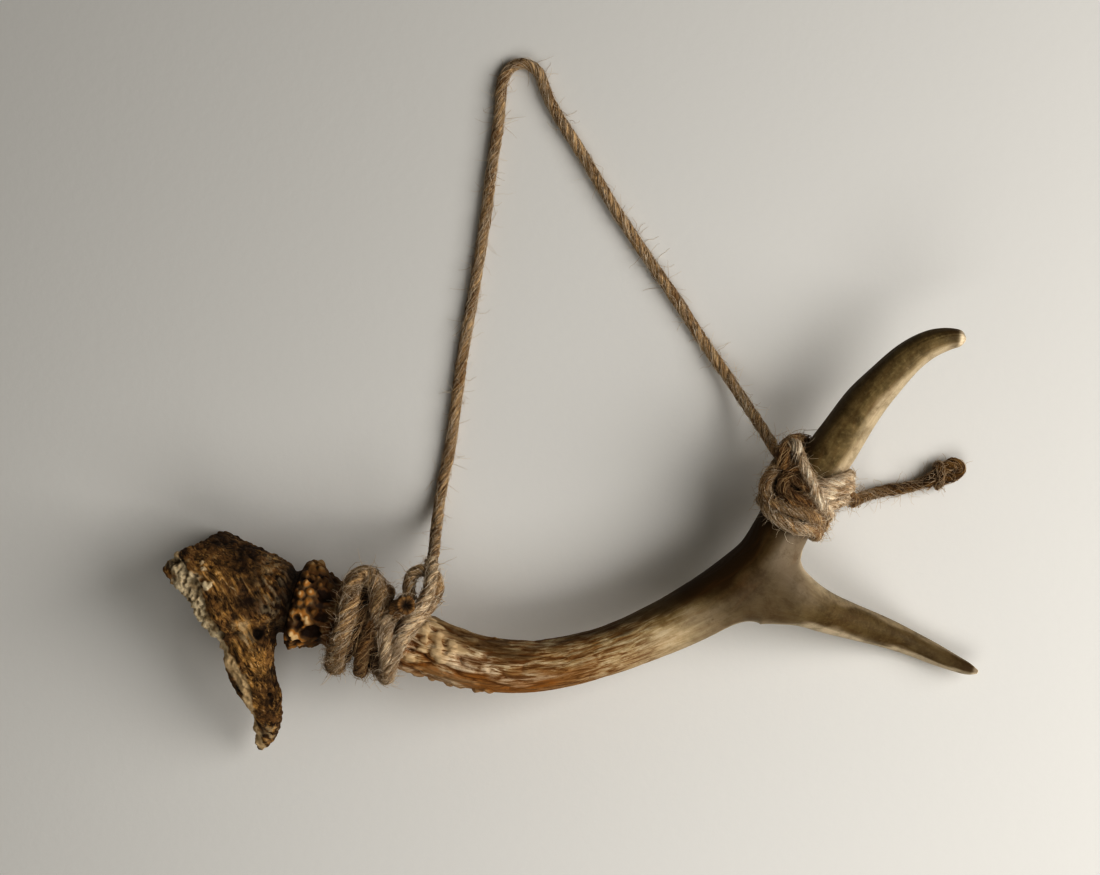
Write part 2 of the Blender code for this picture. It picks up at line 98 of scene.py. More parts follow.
SPUR = [
    (-116.0, -26.0, 28.0, 8.0, 9.0),
    (-117.0, -36.0, 29.0, 9.4, 8.4),
    (-117.2, -43.5, 28.0, 8.8, 6.8),
    (-115.2, -50.9, 26.0, 8.0, 5.4),
    (-112.7, -57.0, 23.5, 6.5, 4.6),
    (-111.8, -63.5, 20.0, 5.3, 4.0),
    (-112.3, -70.1, 16.0, 4.1, 3.2),
    (-114.6, -75.3, 12.8, 2.2, 2.0),
    (-115.6, -77.4, 11.6, 0.9, 0.9),
]
# The skull fragment's broken rim, round the pedicle's line: degrees, then how far out, how far across and the
# height of its outer edge, and the same for its inner edge.
SKULL_RIM = [
    (0.0, 33.5, 16.2, 22.0, 36.5, 12.6, 21.0),
    (28.0, 37.5, 12.0, 34.0, 41.0, 8.0, 31.0),
    (48.0, 44.0, 6.8, 40.8, 47.8, 0.0, 37.5),
    (70.0, 37.5, 3.0, 44.0, 43.0, -4.2, 39.0),
    (95.0, 30.0, -1.6, 45.0, 36.5, -9.2, 38.0),
    (125.0, 23.5, -12.0, 42.0, 29.5, -15.2, 36.0),
    (150.0, 18.5, -20.0, 37.0, 22.5, -20.2, 32.0),
    (180.0, 15.0, -26.0, 26.0, 18.5, -23.0, 24.5),
    (208.0, 15.0, -22.0, 12.0, 19.5, -18.0, 13.0),
    (232.0, 19.0, -15.0, 1.0, 24.0, -12.0, 5.0),
    (258.0, 26.0, -5.0, -3.4, 31.0, -3.5, 1.6),
    (286.0, 30.5, 6.0, -3.6, 35.0, 4.4, 1.6),
    (318.0, 33.0, 15.6, -3.2, 37.0, 11.6, 2.4),
    (336.0, 33.4, 16.4, 8.0, 37.0, 12.6, 9.0),
]
NECK_RADIUS, FLARE_POWER, HOLLOW_FLOOR = 12.8, 1.25, 19.0
# The groove round the pedicle under the burr: how far out its middle lies, its width and its depth.
NECK_GROOVE = (2.2, 2.0, 2.3)
# The skull fragment's broken edge, which shows its white spongy inside: x, y and half the band's width.
BREAK_LINE = [
    (-143.6, -4.6, 2.6), (-140.6, -9.6, 4.0), (-138.2, -14.6, 4.6), (-136.2, -19.6, 4.6),
    (-134.2, -24.6, 4.0), (-131.4, -29.6, 3.2), (-128.4, -33.2, 2.2), (-126.6, -38.4, 2.0),
    (-123.6, -44.0, 2.0), (-121.0, -49.0, 2.0), (-118.6, -54.0, 1.8), (-117.4, -60.0, 1.5),
    (-117.0, -66.0, 1.5), (-116.2, -71.5, 1.8), (-114.6, -75.4, 2.0),
]
# Soft spots of colour on the skull bone: x, y, radius and strength.
CREAM_SPOTS = [
    (-107.5, -15.0, 5.5, 0.55), (-106.5, -23.0, 5.0, 0.6), (-110.4, -70.5, 2.4, 0.7),
    (-118.6, -30.0, 2.4, 0.5), (-117.0, -35.5, 2.6, 0.55), (-108.5, -8.0, 4.0, 0.35),
    (-104.0, -28.0, 3.5, 0.4),
]
# Pale chips that stand off the bone beside the break, and the pale fibrous patch, the same way.
CHIPS = [(-130.4, -15.4, 2.0, 1.0), (-131.6, -9.6, 1.3, 1.0), (-132.4, -7.6, 1.0, 0.9)]
FIBROUS_SPOTS = [(-107.0, -16.0, 7.0, 1.0), (-107.0, -24.0, 6.0, 1.0)]
GOLD_SPOTS = [
    (-118.6, -30.5, 3.4, 1.0), (-116.8, -37.0, 3.4, 0.9), (-114.6, -43.5, 4.2, 1.0),
    (-124.0, -24.0, 5.0, 0.6), (-114.8, -51.0, 3.4, 0.8), (-129.0, -17.0, 5.0, 0.5),
    (-111.0, -11.0, 5.0, 0.3), (-132.0, -9.0, 5.0, 0.5), (-115.4, -60.0, 3.0, 0.6),
    (-121.0, -38.0, 3.0, 0.6), (-124.5, -11.0, 4.0, 0.5),
]
DARK_SPOTS = [
    (-127.5, 1.0, 5.0, 0.9), (-119.0, -6.0, 6.5, 0.85), (-114.0, -13.0, 5.0, 0.85),
    (-115.5, -22.0, 5.0, 0.8), (-112.9, -33.5, 3.2, 1.0), (-109.0, -56.0, 3.0, 0.85),
    (-107.6, -47.0, 2.4, 0.6), (-142.1, -6.9, 1.8, 1.0), (-123.0, -18.0, 4.0, 0.5),
    (-110.4, -63.0, 2.2, 0.6), (-104.0, -33.0, 4.0, 0.7), (-119.5, -20.0, 3.0, 0.5),
]
# Holes in the skull bone: x, y, radius and depth.
SKULL_HOLES = [
    (-126.5, -33.6, 1.6, 3.0), (-142.1, -6.9, 1.5, 2.4), (-109.7, -55.8, 0.8, 1.6),
    (-107.1, -46.0, 0.7, 1.2), (-113.0, -33.2, 1.9, 2.2), (-134.5, -19.4, 0.9, 1.4),
    (-136.9, -20.4, 0.8, 1.2), (-134.0, -25.6, 0.9, 1.4), (-138.6, -14.2, 0.9, 1.2),
    (-131.6, -24.6, 0.7, 1.0),
]

# Cream stretches of the main limb, the last of them its tip: share, where each starts, is whole, stops and is
# gone along the limb, and its middle angle, half width and soft side in degrees. Two of them don't stop.
NEVER = (999.0, 1000.0)
# The first three lie on the lower sides, which face the light: paler bone there, and partly painted light.
CREAM_STRETCHES = [
    (0.3, 95.0, 140.0, 160.0, 200.0, 140.0, 40.0, 30.0),
    (0.52, 184.0, 205.0, *NEVER, 172.0, 32.0, 34.0),
    (0.9, 176.0, 190.0, 212.0, 222.0, 146.0, 42.0, 34.0),
    (0.95, 289.6, 291.4, *NEVER, 120.0, 100.0, 90.0),
]
# How streaked the smooth bone is.
SMOOTH_STREAKS = 0.16

# The burr's height over the limb, and the rows of knobs on it: along, count, radius, height.
BURR_BASE = [
    (0.0, 0.2), (0.8, 1.8), (2.6, 2.9), (6.5, 2.7), (9.0, 1.7), (11.5, 0.5), (14.0, -0.2), (16.0, 0.0),
]
BURR_ROWS = [
    (0.9, 24, 1.4, 1.1), (2.8, 25, 1.5, 1.5), (4.8, 24, 1.6, 1.7), (6.9, 23, 1.6, 1.7), (9.0, 21, 1.5, 1.5),
    (11.2, 16, 1.4, 1.0), (13.2, 10, 1.2, 0.7),
]
# Hollows between the knobs: along, degrees, radius, depth.
BURR_PITS = [
    (9.5, 128.0, 4.2, 3.0), (3.6, 104.0, 1.6, 1.4), (10.5, 62.0, 3.0, 2.0), (4.2, 45.0, 1.5, 1.2),
    (12.0, 95.0, 3.0, 1.6), (5.5, 145.0, 1.8, 1.4), (8.6, 30.0, 1.7, 1.4), (9.0, 200.0, 3.0, 2.0),
    (8.0, 250.0, 2.6, 1.6), (9.5, 315.0, 3.0, 2.0),
]
# Pearls on the lower beam: along, degrees, radius, height.
PEARLS = [
    (57.2, 101.0, 2.6, 0.9), (72.2, 103.0, 2.0, 0.5), (61.3, 178.0, 2.0, 1.2), (65.4, 172.0, 1.8, 1.1),
    (71.3, 168.0, 2.0, 1.2), (75.1, 160.0, 1.8, 0.9), (49.5, 84.0, 3.0, 0.8), (52.6, 150.0, 2.2, 0.9),
    (47.0, 200.0, 2.4, 1.3), (55.5, 212.0, 2.3, 1.2), (66.0, 222.0, 2.2, 1.2), (80.0, 202.0, 2.0, 0.8),
    (58.0, 292.0, 2.6, 1.0), (70.0, 310.0, 2.3, 0.8), (88.0, 240.0, 2.0, 0.6), (53.0, 62.0, 2.6, 0.8),
    (50.5, 176.0, 2.0, 1.1), (56.0, 181.0, 1.9, 1.1), (46.0, 120.0, 2.2, 0.8), (48.4, 58.0, 2.2, 1.0),
    (48.7, 71.0, 2.3, 1.2), (49.3, 97.0, 2.0, 1.0), (53.6, 52.0, 2.0, 0.9), (53.9, 74.0, 2.3, 1.1),
    (54.6, 88.0, 2.2, 1.1), (58.8, 62.0, 1.9, 0.8), (59.6, 80.0, 1.8, 0.8),
]
# Hollows on the lower beam, the same way.
BEAM_PITS = [
    (45.3, 92.0, 2.0, 1.5), (42.8, 150.0, 1.7, 1.4), (52.0, 116.0, 1.4, 0.9), (47.5, 68.0, 1.8, 1.3),
    (50.5, 48.0, 1.8, 1.2), (60.5, 128.0, 1.2, 0.7), (51.2, 66.0, 1.4, 1.4), (51.6, 80.0, 1.4, 1.5),
    (52.2, 95.0, 1.2, 1.1), (56.8, 68.0, 1.3, 1.1), (57.4, 84.0, 1.2, 0.9), (45.4, 78.0, 1.3, 1.1),
]

# The twine's thickness, and the length of one turn of its plies: as usual, and in its tighter stretches.
TWINE, TWIST, TIGHT_TWIST = 4.0, 16.0, 11.0
# The strands of the binding above the burr, from below the limb to below it again or to their own end.
ARCH_TURN = [
    (-80.9, -30.8, 11.3), (-85.5, -38.3, 15.5), (-87.0, -45.6, 26.0), (-85.4, -39.6, 35.6),
    (-83.0, -32.8, 40.1), (-81.1, -25.7, 41.0), (-80.2, -19.4, 39.9), (-78.9, -14.8, 37.9),
    (-76.6, -12.2, 36.2), (-73.8, -12.0, 36.0), (-71.6, -13.9, 37.0), (-70.3, -17.3, 38.4),
    (-69.9, -23.0, 39.4), (-69.0, -29.3, 39.0), (-68.2, -35.7, 37.8), (-68.2, -42.2, 33.8),
    (-69.8, -46.9, 26.0), (-72.8, -42.6, 17.8), (-73.7, -35.6, 13.0),
]
UPRIGHT_STRAND = [
    (-69.3, -32.8, 12.3), (-69.8, -41.5, 14.7), (-69.0, -48.0, 20.5), (-68.4, -49.2, 27.5),
    (-67.8, -46.9, 33.6), (-67.3, -43.0, 37.4), (-67.4, -37.1, 39.7), (-67.4, -31.3, 40.6),
    (-66.3, -27.1, 41.0), (-63.6, -24.4, 42.4),
]
CUT_END = [(-64.4, -25.0, 41.8), (-62.0, -23.2, 43.4), (-60.4, -22.3, 45.4), (-59.9, -22.0, 47.6)]
HITCH_STRAND = [
    (-66.7, -35.8, 12.8), (-68.2, -42.4, 15.8), (-69.0, -47.2, 21.6), (-68.4, -47.9, 29.0),
    (-66.9, -45.6, 35.0), (-65.0, -40.7, 38.6), (-62.4, -36.0, 39.9), (-59.2, -31.5, 40.0),
    (-55.9, -27.1, 39.6), (-52.2, -22.6, 39.2), (-50.1, -19.4, 38.6),
]
HITCH_RING = [
    (-50.9, -21.1, 38.6), (-49.3, -17.4, 38.0), (-49.5, -13.9, 37.2), (-51.7, -11.3, 35.8),
    (-54.9, -10.4, 35.2), (-57.8, -11.5, 35.4), (-59.2, -14.3, 36.4), (-59.3, -17.7, 37.6),
    (-58.6, -20.9, 38.4),
]
RING_WRAP = [
    (-52.0, -7.1, 30.5), (-51.4, -9.4, 35.0), (-51.4, -12.0, 38.4), (-51.7, -15.1, 40.4),
    (-52.6, -18.6, 41.4), (-54.6, -22.4, 42.0), (-57.4, -26.3, 42.2), (-60.3, -30.6, 41.6),
    (-63.0, -35.3, 40.4), (-64.8, -39.6, 37.6),
]
BURR_UNDER_TURNS = [
    [
        (-78.0, -24.5, 13.1), (-75.5, -18.0, 18.5), (-74.4, -16.1, 27.0), (-75.3, -19.9, 34.6),
        (-77.5, -26.8, 38.9), (-80.4, -34.7, 37.9), (-82.7, -40.4, 32.2), (-83.7, -42.2, 23.9),
        (-82.7, -38.2, 16.1), (-80.2, -30.6, 12.3),
    ],
    [
        (-71.5, -27.0, 13.5), (-68.8, -20.7, 18.8), (-67.8, -18.8, 27.1), (-69.2, -22.3, 34.5),
        (-71.9, -28.9, 38.7), (-75.2, -36.5, 37.8), (-77.0, -43.6, 33.6), (-77.6, -47.6, 26.0),
        (-76.8, -43.4, 17.6), (-74.0, -32.8, 12.7),
    ],
    [
        (-64.3, -29.8, 14.0), (-61.9, -23.6, 19.1), (-61.7, -22.3, 27.1), (-63.2, -25.0, 34.3),
        (-66.2, -31.2, 38.3), (-69.3, -38.5, 37.4), (-71.4, -43.9, 32.0), (-71.8, -46.0, 24.2),
        (-69.9, -42.5, 16.8), (-66.7, -35.5, 13.3),
    ],
]
# The strands of the binding above the fork.
LEFT_BEND = [
    (80.3, 26.9, 37.5), (76.1, 27.2, 36.0), (71.9, 25.8, 35.2), (68.7, 22.6, 34.8), (67.5, 18.4, 34.8),
    (69.0, 14.7, 35.6), (73.2, 12.6, 38.1), (78.1, 10.9, 38.9), (83.2, 9.1, 37.6), (87.3, 7.3, 33.6),
    (87.7, 4.6, 26.4), (85.2, 6.8, 20.2), (80.4, 13.5, 17.2),
]
LOW_STRAND = [
    (73.2, 15.4, 18.5), (67.6, 14.5, 22.3), (67.4, 13.7, 30.0), (68.2, 11.1, 34.6), (70.7, 8.5, 37.9),
    (74.9, 6.1, 38.9), (79.6, 4.3, 38.0), (84.3, 3.9, 34.9), (86.2, 1.6, 26.2), (83.8, 4.3, 20.0),
]
SLANTED_TURNS = [
    [
        (80.6, 15.6, 38.4), (84.4, 18.5, 39.5), (89.0, 19.9, 39.3), (93.4, 21.3, 38.1), (96.6, 22.3, 35.0),
        (97.8, 22.9, 30.0), (96.6, 23.4, 23.8), (91.4, 24.9, 19.6), (83.7, 27.5, 19.3), (76.6, 27.8, 23.6),
        (71.8, 26.8, 30.0),
    ],
    [
        (81.3, 12.8, 38.1), (85.6, 14.9, 38.5), (89.9, 16.3, 37.4), (94.3, 17.8, 34.9), (97.3, 18.7, 31.5),
        (98.1, 19.1, 27.0), (94.1, 19.3, 22.6), (88.9, 21.0, 18.9), (81.1, 23.6, 18.6), (73.9, 24.0, 23.1),
        (69.6, 23.4, 29.6),
    ],
    [
        (82.9, 9.5, 37.0), (87.2, 11.5, 36.5), (91.4, 12.9, 34.6), (94.9, 14.2, 31.6), (96.0, 14.9, 27.6),
        (94.8, 14.9, 24.0), (91.1, 15.0, 21.6), (85.4, 16.4, 18.1), (77.8, 18.8, 18.0), (71.2, 19.8, 22.7),
        (68.4, 19.6, 29.0),
    ],
]
CROSSING_STRAND = [
    (89.6, 31.2, 19.7), (83.5, 34.0, 22.2), (76.8, 33.6, 30.0), (75.8, 34.4, 35.0), (77.9, 33.6, 38.6),
    (79.1, 30.1, 39.4), (80.7, 25.9, 40.8), (82.7, 21.7, 41.6), (85.1, 16.7, 41.0), (87.8, 12.0, 38.3),
    (90.2, 8.9, 32.5), (89.5, 7.6, 26.2), (86.2, 9.6, 20.0),
]
TOP_BEND = [
    (73.5, 25.6, 37.4), (73.3, 29.4, 37.9), (74.3, 32.8, 37.0), (76.4, 34.9, 34.6), (79.0, 35.4, 30.0),
    (83.0, 34.6, 24.0),
]
# A strand inside the left bend, and two turns that lie on the limb under all the others; their darker brown
# is painted shade.
INNER_BEND = [
    (81.6, 27.2, 38.6), (78.8, 26.2, 38.4), (75.8, 24.2, 38.0), (73.6, 21.2, 37.6), (73.6, 18.3, 38.0),
    (76.0, 16.2, 39.4), (79.8, 14.9, 39.8), (83.9, 13.0, 37.8), (87.2, 11.6, 34.0),
]
FORK_UNDER_TURNS = [
    [
        (75.3, 14.4, 18.6), (70.7, 17.4, 22.6), (69.3, 18.5, 28.7), (71.7, 17.2, 34.6), (76.8, 14.0, 39.4),
        (82.7, 10.3, 37.4), (87.0, 7.5, 32.0), (87.9, 6.8, 26.5), (85.1, 8.4, 20.8), (79.7, 11.7, 18.1),
    ],
    [
        (79.7, 21.0, 19.2), (75.2, 23.9, 23.2), (73.8, 24.7, 29.3), (75.9, 23.2, 37.2), (80.8, 20.0, 40.4),
        (86.4, 16.3, 37.0), (90.6, 13.6, 32.4), (91.6, 13.1, 27.0), (89.0, 14.9, 21.4), (83.9, 18.2, 18.7),
    ],
]
# The twine's short leads between its free runs and the bindings.
RING_LEAD = [(-52.3, -9.0, 28.4), (-52.2, -8.6, 30.0), (-51.9, -8.4, 32.2), (-51.6, -9.6, 35.0)]
FORK_LEAD = [(70.3, 34.9, 23.0), (72.0, 31.6, 28.4), (74.6, 28.2, 33.4)]
TAIL_LEAD = [(93.6, 18.2, 28.4), (97.4, 16.4, 26.0), (100.2, 14.4, 19.6), (101.6, 13.4, 13.4)]
# The twine's free runs. Its middle line has this height where it lies on the floor.
REST_Z = 2.15
HANGING_ROUTE = [
    (-52.2, -9.6, 29.0), (-51.4, -5.2, 22.6), (-51.2, 0.4, 13.6), (-50.7, 8.0, 5.6), (-49.5, 17.3, 2.4),
    (-47.2, 28.4, REST_Z), (-43.0, 58.0, REST_Z), (-38.1, 87.5, REST_Z), (-33.4, 117.1, REST_Z),
    (-29.9, 143.0, REST_Z), (-28.0, 157.0, REST_Z), (-27.3, 166.4, REST_Z), (-25.7, 171.2, REST_Z),
    (-22.0, 174.5, REST_Z), (-17.2, 174.6, REST_Z), (-13.5, 171.5, REST_Z), (-11.6, 166.6, REST_Z),
    (-7.8, 158.0, REST_Z), (0.0, 145.6, REST_Z), (13.2, 123.6, REST_Z), (26.1, 104.0, REST_Z),
    (40.1, 83.4, REST_Z), (48.2, 70.8, 2.3), (55.5, 60.0, 4.6), (62.1, 49.6, 9.4), (67.0, 41.3, 16.2),
    (70.6, 34.4, 23.6),
]
TAIL_ROUTE = [
    (101.6, 13.4, 12.8), (104.4, 14.4, 8.4), (108.6, 15.6, 4.6), (114.6, 17.0, 2.5), (122.2, 18.2, 2.2),
    (128.0, 20.0, 2.3), (131.6, 21.9, 3.0),
]
# The tail's end knot: its middle, its turn in degrees, and in its own plane (along the tail, beside it and
# the height) the loop that the twine makes back over itself and the short turn round its neck.
TAIL_KNOT_CENTRE, TAIL_KNOT_TURN = (138.4, 24.3, 0.0), 19.0
KNOT_LOOP = [
    (-8.4, -1.5, 2.3), (-5.4, -1.8, 2.3), (-2.4, -2.1, 2.4), (0.6, -2.1, 2.6), (3.2, -1.2, 3.0),
    (3.6, 0.8, 3.6), (1.6, 2.1, 4.0), (-1.2, 1.9, 4.3), (-3.8, 1.2, 4.7), (-6.4, 0.4, 4.9),
    (-8.8, -0.8, 4.4), (-10.6, -1.8, 3.2),
]
KNOT_NECK = [
    (-5.9, -3.7, 2.3), (-5.9, -3.2, 4.6), (-4.9, -1.2, 6.5), (-3.8, 1.2, 6.5), (-3.3, 3.0, 4.6),
    (-3.5, 3.3, 2.4),
]


# --- Numbers ----------------------------------------------------------------------------------------------


def metres(points):
    """Points in the tables' frame, in millimetres, as points in the part's frame in metres."""
    return (np.asarray(points, float) - np.array(CENTRE)) * MM


def natural_spline(knots, values, at):
    """The natural cubic spline through the values at the knots, read at other places."""
    knots, values, at = (np.asarray(x, float) for x in (knots, values, at))
    gaps = np.diff(knots)
    slopes = np.diff(values, axis=0) / gaps[:, None]
    matrix, right = np.eye(len(knots)), np.zeros_like(values)
    for i in range(1, len(knots) - 1):
        matrix[i, i - 1 : i + 2] = gaps[i - 1], 2 * (gaps[i - 1] + gaps[i]), gaps[i]
        right[i] = 6 * (slopes[i] - slopes[i - 1])
    bend = np.linalg.solve(matrix, right)
    i = np.clip(np.searchsorted(knots, at) - 1, 0, len(gaps) - 1)
    after, before = (at - knots[i])[:, None], (knots[i + 1] - at)[:, None]
    gap = gaps[i][:, None]
    return (
        (bend[i] * before**3 + bend[i + 1] * after**3) / (6 * gap)
        + (values[i] / gap - bend[i] * gap / 6) * before
        + (values[i + 1] / gap - bend[i + 1] * gap / 6) * after
    )


def distances(points):
    """How far along its line each point lies."""
    steps = np.linalg.norm(np.diff(np.asarray(points, float)[:, :3], axis=0), axis=1)
    return np.concatenate([[0.0], np.cumsum(steps)])


def unit(vectors):
    """Vectors made one long."""
    return vectors / np.maximum(np.linalg.norm(vectors, axis=-1, keepdims=True), 1e-9)


def fade(value, start, full):
    """0 before start and 1 after full, smooth between them: 3t^2 - 2t^3."""
    share = np.clip((value - start) / (full - start), 0.0, 1.0)
    return share * share * (3 - 2 * share)


# The whole numbers that lattice() multiplies and shifts by, and the 32 bits that it keeps.
SEED_STEP, AXIS_STEPS = 2654435761, (0x8DA6B343, 0xD8163841, 0xCB1AB31F)
MIX, FIRST_SHIFT, SECOND_SHIFT, BITS = 0x2C1B3C6D, 15, 12, 0xFFFFFFFF
# How far layered_noise() moves each layer from the one before, and how much it strengthens their sum.
LAYER_SHIFT, LAYER_GAIN = 17.3, 1.6


def lattice(cells, seed):
    """A fixed number from 0 to 1 for each cell: its whole coordinates multiplied, shifted and mixed."""
    mixed = np.full(cells.shape[:-1], (seed * SEED_STEP) & BITS, dtype=np.uint64)
    for axis, step in enumerate(AXIS_STEPS):
        whole = (cells[..., axis].astype(np.int64) & BITS).astype(np.uint64)
        mixed ^= (whole * np.uint64(step)) & np.uint64(BITS)
        mixed ^= mixed >> np.uint64(FIRST_SHIFT)
        mixed = (mixed * np.uint64(MIX)) & np.uint64(BITS)
        mixed ^= mixed >> np.uint64(SECOND_SHIFT)
    return mixed / float(BITS)


def soft_noise(points, seed):
    """Noise from 0 to 1: the numbers at the eight lattice corners round a point, blended by 3t^2 - 2t^3."""
    base = np.floor(points).astype(np.int64)
    share = points - base
    share = share * share * (3 - 2 * share)
    total = np.zeros(points.shape[:-1])
    for corner in np.ndindex(2, 2, 2):
        corner = np.array(corner)
        weight = np.prod(np.where(corner == 1, share, 1 - share), axis=-1)
        total += weight * lattice(base + corner, seed)
    return total


def layered_noise(points, seed, layers=3):
    """Noise from 0 to 1 in layers, each twice as fine and half as strong as the one before."""
    total, strength = 0.0, 1.0
    for layer in range(layers):
        total = total + strength * (soft_noise(points * 2.0**layer + LAYER_SHIFT * layer, seed + layer) - 0.5)
        strength *= 0.5
    return 0.5 + total / (2 - 2 * 0.5**layers) * LAYER_GAIN


def bumps(points, size, seed, layers=2):
    """Layered noise from -0.5 to 0.5 whose largest lumps have a size, one number or one for each axis."""
    return layered_noise(points / np.array(size), seed, layers) - 0.5


def full_turn(sides):
    """The angles of a ring's points."""
    return np.arange(sides) * 2 * math.pi / sides


def straight(along, angle, reach=10.0):
    """The place on a tube as if it were straight and round: reach cos angle, reach sin angle, along."""
    return np.stack([reach * np.cos(angle), reach * np.sin(angle), along + 0 * angle], axis=-1)


def nearest_rows(points, others):
    """For each point, the row of the others that lies nearest to it."""
    return np.argmin(((points[:, None] - others[None]) ** 2).sum(axis=2), axis=1)


def inside_ends(along, length):
    """0 at a line's two ends and 1 from a length inside them."""
    return fade(along, 0.0, length) * fade(along, along[-1], along[-1] - length)


class Limb:
    """A limb's middle line and its oval section, read at any distance along it."""

    # How far to each side a direction is read, the thinnest half width, and how many places nearest() tries.
    NEAR, THINNEST, PLACES = 0.2, 0.3, 260

    def __init__(self, stations):
        self.stations = np.array(stations, float)
        self.knots = distances(stations)
        self.length = self.knots[-1]

    def read(self, along):
        """Middle points, the directions along, across and over, and the section's two half widths."""
        along = np.atleast_1d(np.asarray(along, float))
        rows = natural_spline(self.knots, self.stations, along)
        ahead = natural_spline(self.knots, self.stations[:, :3], np.minimum(along + self.NEAR, self.length))
        behind = natural_spline(self.knots, self.stations[:, :3], np.maximum(along - self.NEAR, 0.0))
        forward = unit(ahead - behind)
        across = unit(np.cross(UP, forward))
        over = np.cross(forward, across)
        return rows[:, :3], forward, across, over, np.maximum(rows[:, 3:], self.THINNEST)

    def surface(self, along, angle):
        """Middle + across half width cos angle + over half thickness sin angle."""
        middle, _, across, over, half = self.read(along)
        wide, high = half[:, :1] * np.cos(angle)[:, None], half[:, 1:] * np.sin(angle)[:, None]
        return middle + across * wide + over * high

    def nearest(self, points):
        """Each point's place along the middle line, and its angle round the section there."""
        along = np.linspace(0.0, self.length, self.PLACES)
        middle, forward, _, _, _ = self.read(along)
        near = nearest_rows(points, middle)
        on = ((points - middle[near]) * forward[near]).sum(axis=1)
        place = np.clip(along[near] + on, 0.0, self.length)
        middle, _, across, over, half = self.read(place)
        wide = ((points - middle) * across).sum(axis=1) / half[:, 0]
        high = ((points - middle) * over).sum(axis=1) / half[:, 1]
        return place, np.arctan2(high, wide)

    def depth(self, points):
        """How far points lie outside the limb's oval section at their nearest place, negative inside it."""
        place, _ = self.nearest(points)
        middle, forward, across, over, half = self.read(place)
        offset = points - middle
        wide = (offset * across).sum(axis=1)
        high = (offset * over).sum(axis=1)
        share = np.sqrt((wide / half[:, 0]) ** 2 + (high / half[:, 1]) ** 2)
        beside = (share - 1) * np.sqrt(wide**2 + high**2) / np.maximum(share, 1e-6)
        past = np.abs((offset * forward).sum(axis=1))
        return np.where((place <= 0) | (place >= self.length), np.maximum(beside, past), beside)


# --- Meshes -----------------------------------------------------------------------------------------------


def mesh_of(name, points, *face_groups):
    """A smooth mesh from points in millimetres and arrays of faces, one array for each number of corners."""
    mesh = bpy.data.meshes.new(name)
    corners = np.concatenate([group.ravel() for group in face_groups]).astype(np.int32)
    sizes = np.concatenate([np.full(len(group), group.shape[1]) for group in face_groups])
    mesh.vertices.add(len(points))
    mesh.vertices.foreach_set("co", metres(points).astype(np.float32).ravel())
    mesh.loops.add(len(corners))
    mesh.loops.foreach_set("vertex_index", corners)
    mesh.polygons.add(len(sizes))
    mesh.polygons.foreach_set("loop_start", (np.cumsum(sizes) - sizes).astype(np.int32))
    mesh.update(calc_edges=True)
    mesh.shade_smooth()
    return mesh


def ring_faces(rows, sides, tubes=1):
    """Faces of tubes of rings: quads between the rings, then a fan of triangles at each end.

    Each tube has rows * sides points and then its two end points, and faces outwards where the angle turns
    from the first direction to the second, seen with the line coming towards the eye.
    """
    here = np.arange(sides)
    beside = (here + 1) % sides
    start = np.arange(rows - 1)[:, None] * sides
    quads = np.stack([start + here, start + beside, start + sides + beside, start + sides + here], axis=-1)
    top = (rows - 1) * sides
    first = np.stack([beside, here, np.full(sides, rows * sides)], axis=1)
    last = np.stack([top + here, top + beside, np.full(sides, rows * sides + 1)], axis=1)
    step = (np.arange(tubes) * (rows * sides + 2))[:, None, None]
    quads = (quads.reshape(1, -1, 4) + step).reshape(-1, 4)
    fans = (np.concatenate([first, last])[None] + step).reshape(-1, 3)
    return quads, fans


def rings_round(middle, radius, angle, side, up):
    """Rings of points round lines: their points + radius (cos angle side + sin angle up)."""
    turned = np.cos(angle)[:, None] * side[..., None, :] + np.sin(angle)[:, None] * up[..., None, :]
    return middle + radius * turned


def closed(rings, line, ahead, out):
    """A tube's rings and then its two end points, which lie a little beyond the line's ends."""
    return np.vstack([rings.reshape(-1, 3), line[:1] - ahead[:1] * out, line[-1:] + ahead[-1:] * out])


def with_ends(values):
    """What the points of a tube's rings have, and then zero for its two end points."""
    values = values.reshape(-1, *values.shape[2:])
    return np.concatenate([values, np.zeros((2, *values.shape[1:]))])


def move_points(mesh, points):
    """Sets a mesh's points from millimetres in the tables' frame."""
    mesh.vertices.foreach_set("co", metres(points).astype(np.float32).ravel())
    mesh.update()


def read_rows(items, field, width, kind=np.float32):
    """A field of a mesh's points, normals or edges as rows of numbers."""
    flat = np.empty(width * len(items), kind)
    items.foreach_get(field, flat)
    return flat.reshape(-1, width)


def write_attribute(mesh, name, values):
    """A number or a vector for each point, which the materials read by its name."""
    values = np.asarray(values, np.float32)
    kind, field = ("FLOAT_VECTOR", "vector") if values.ndim == 2 else ("FLOAT", "value")
    mesh.attributes.new(name, kind, "POINT").data.foreach_set(field, values.ravel())


def add_piece(name, mesh, finish, stands_for=()):
    """Puts a finished mesh in the scene on the antler's one body, with its material and what it replaces."""
    piece = bpy.data.objects.new(name, mesh)
    bpy.context.scene.collection.objects.link(piece)
    mesh.materials.clear()
    mesh.materials.append(finish)
    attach(piece, "root")
    if stands_for:
        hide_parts(*stands_for)
    return piece


# --- Materials --------------------------------------------------------------------------------------------


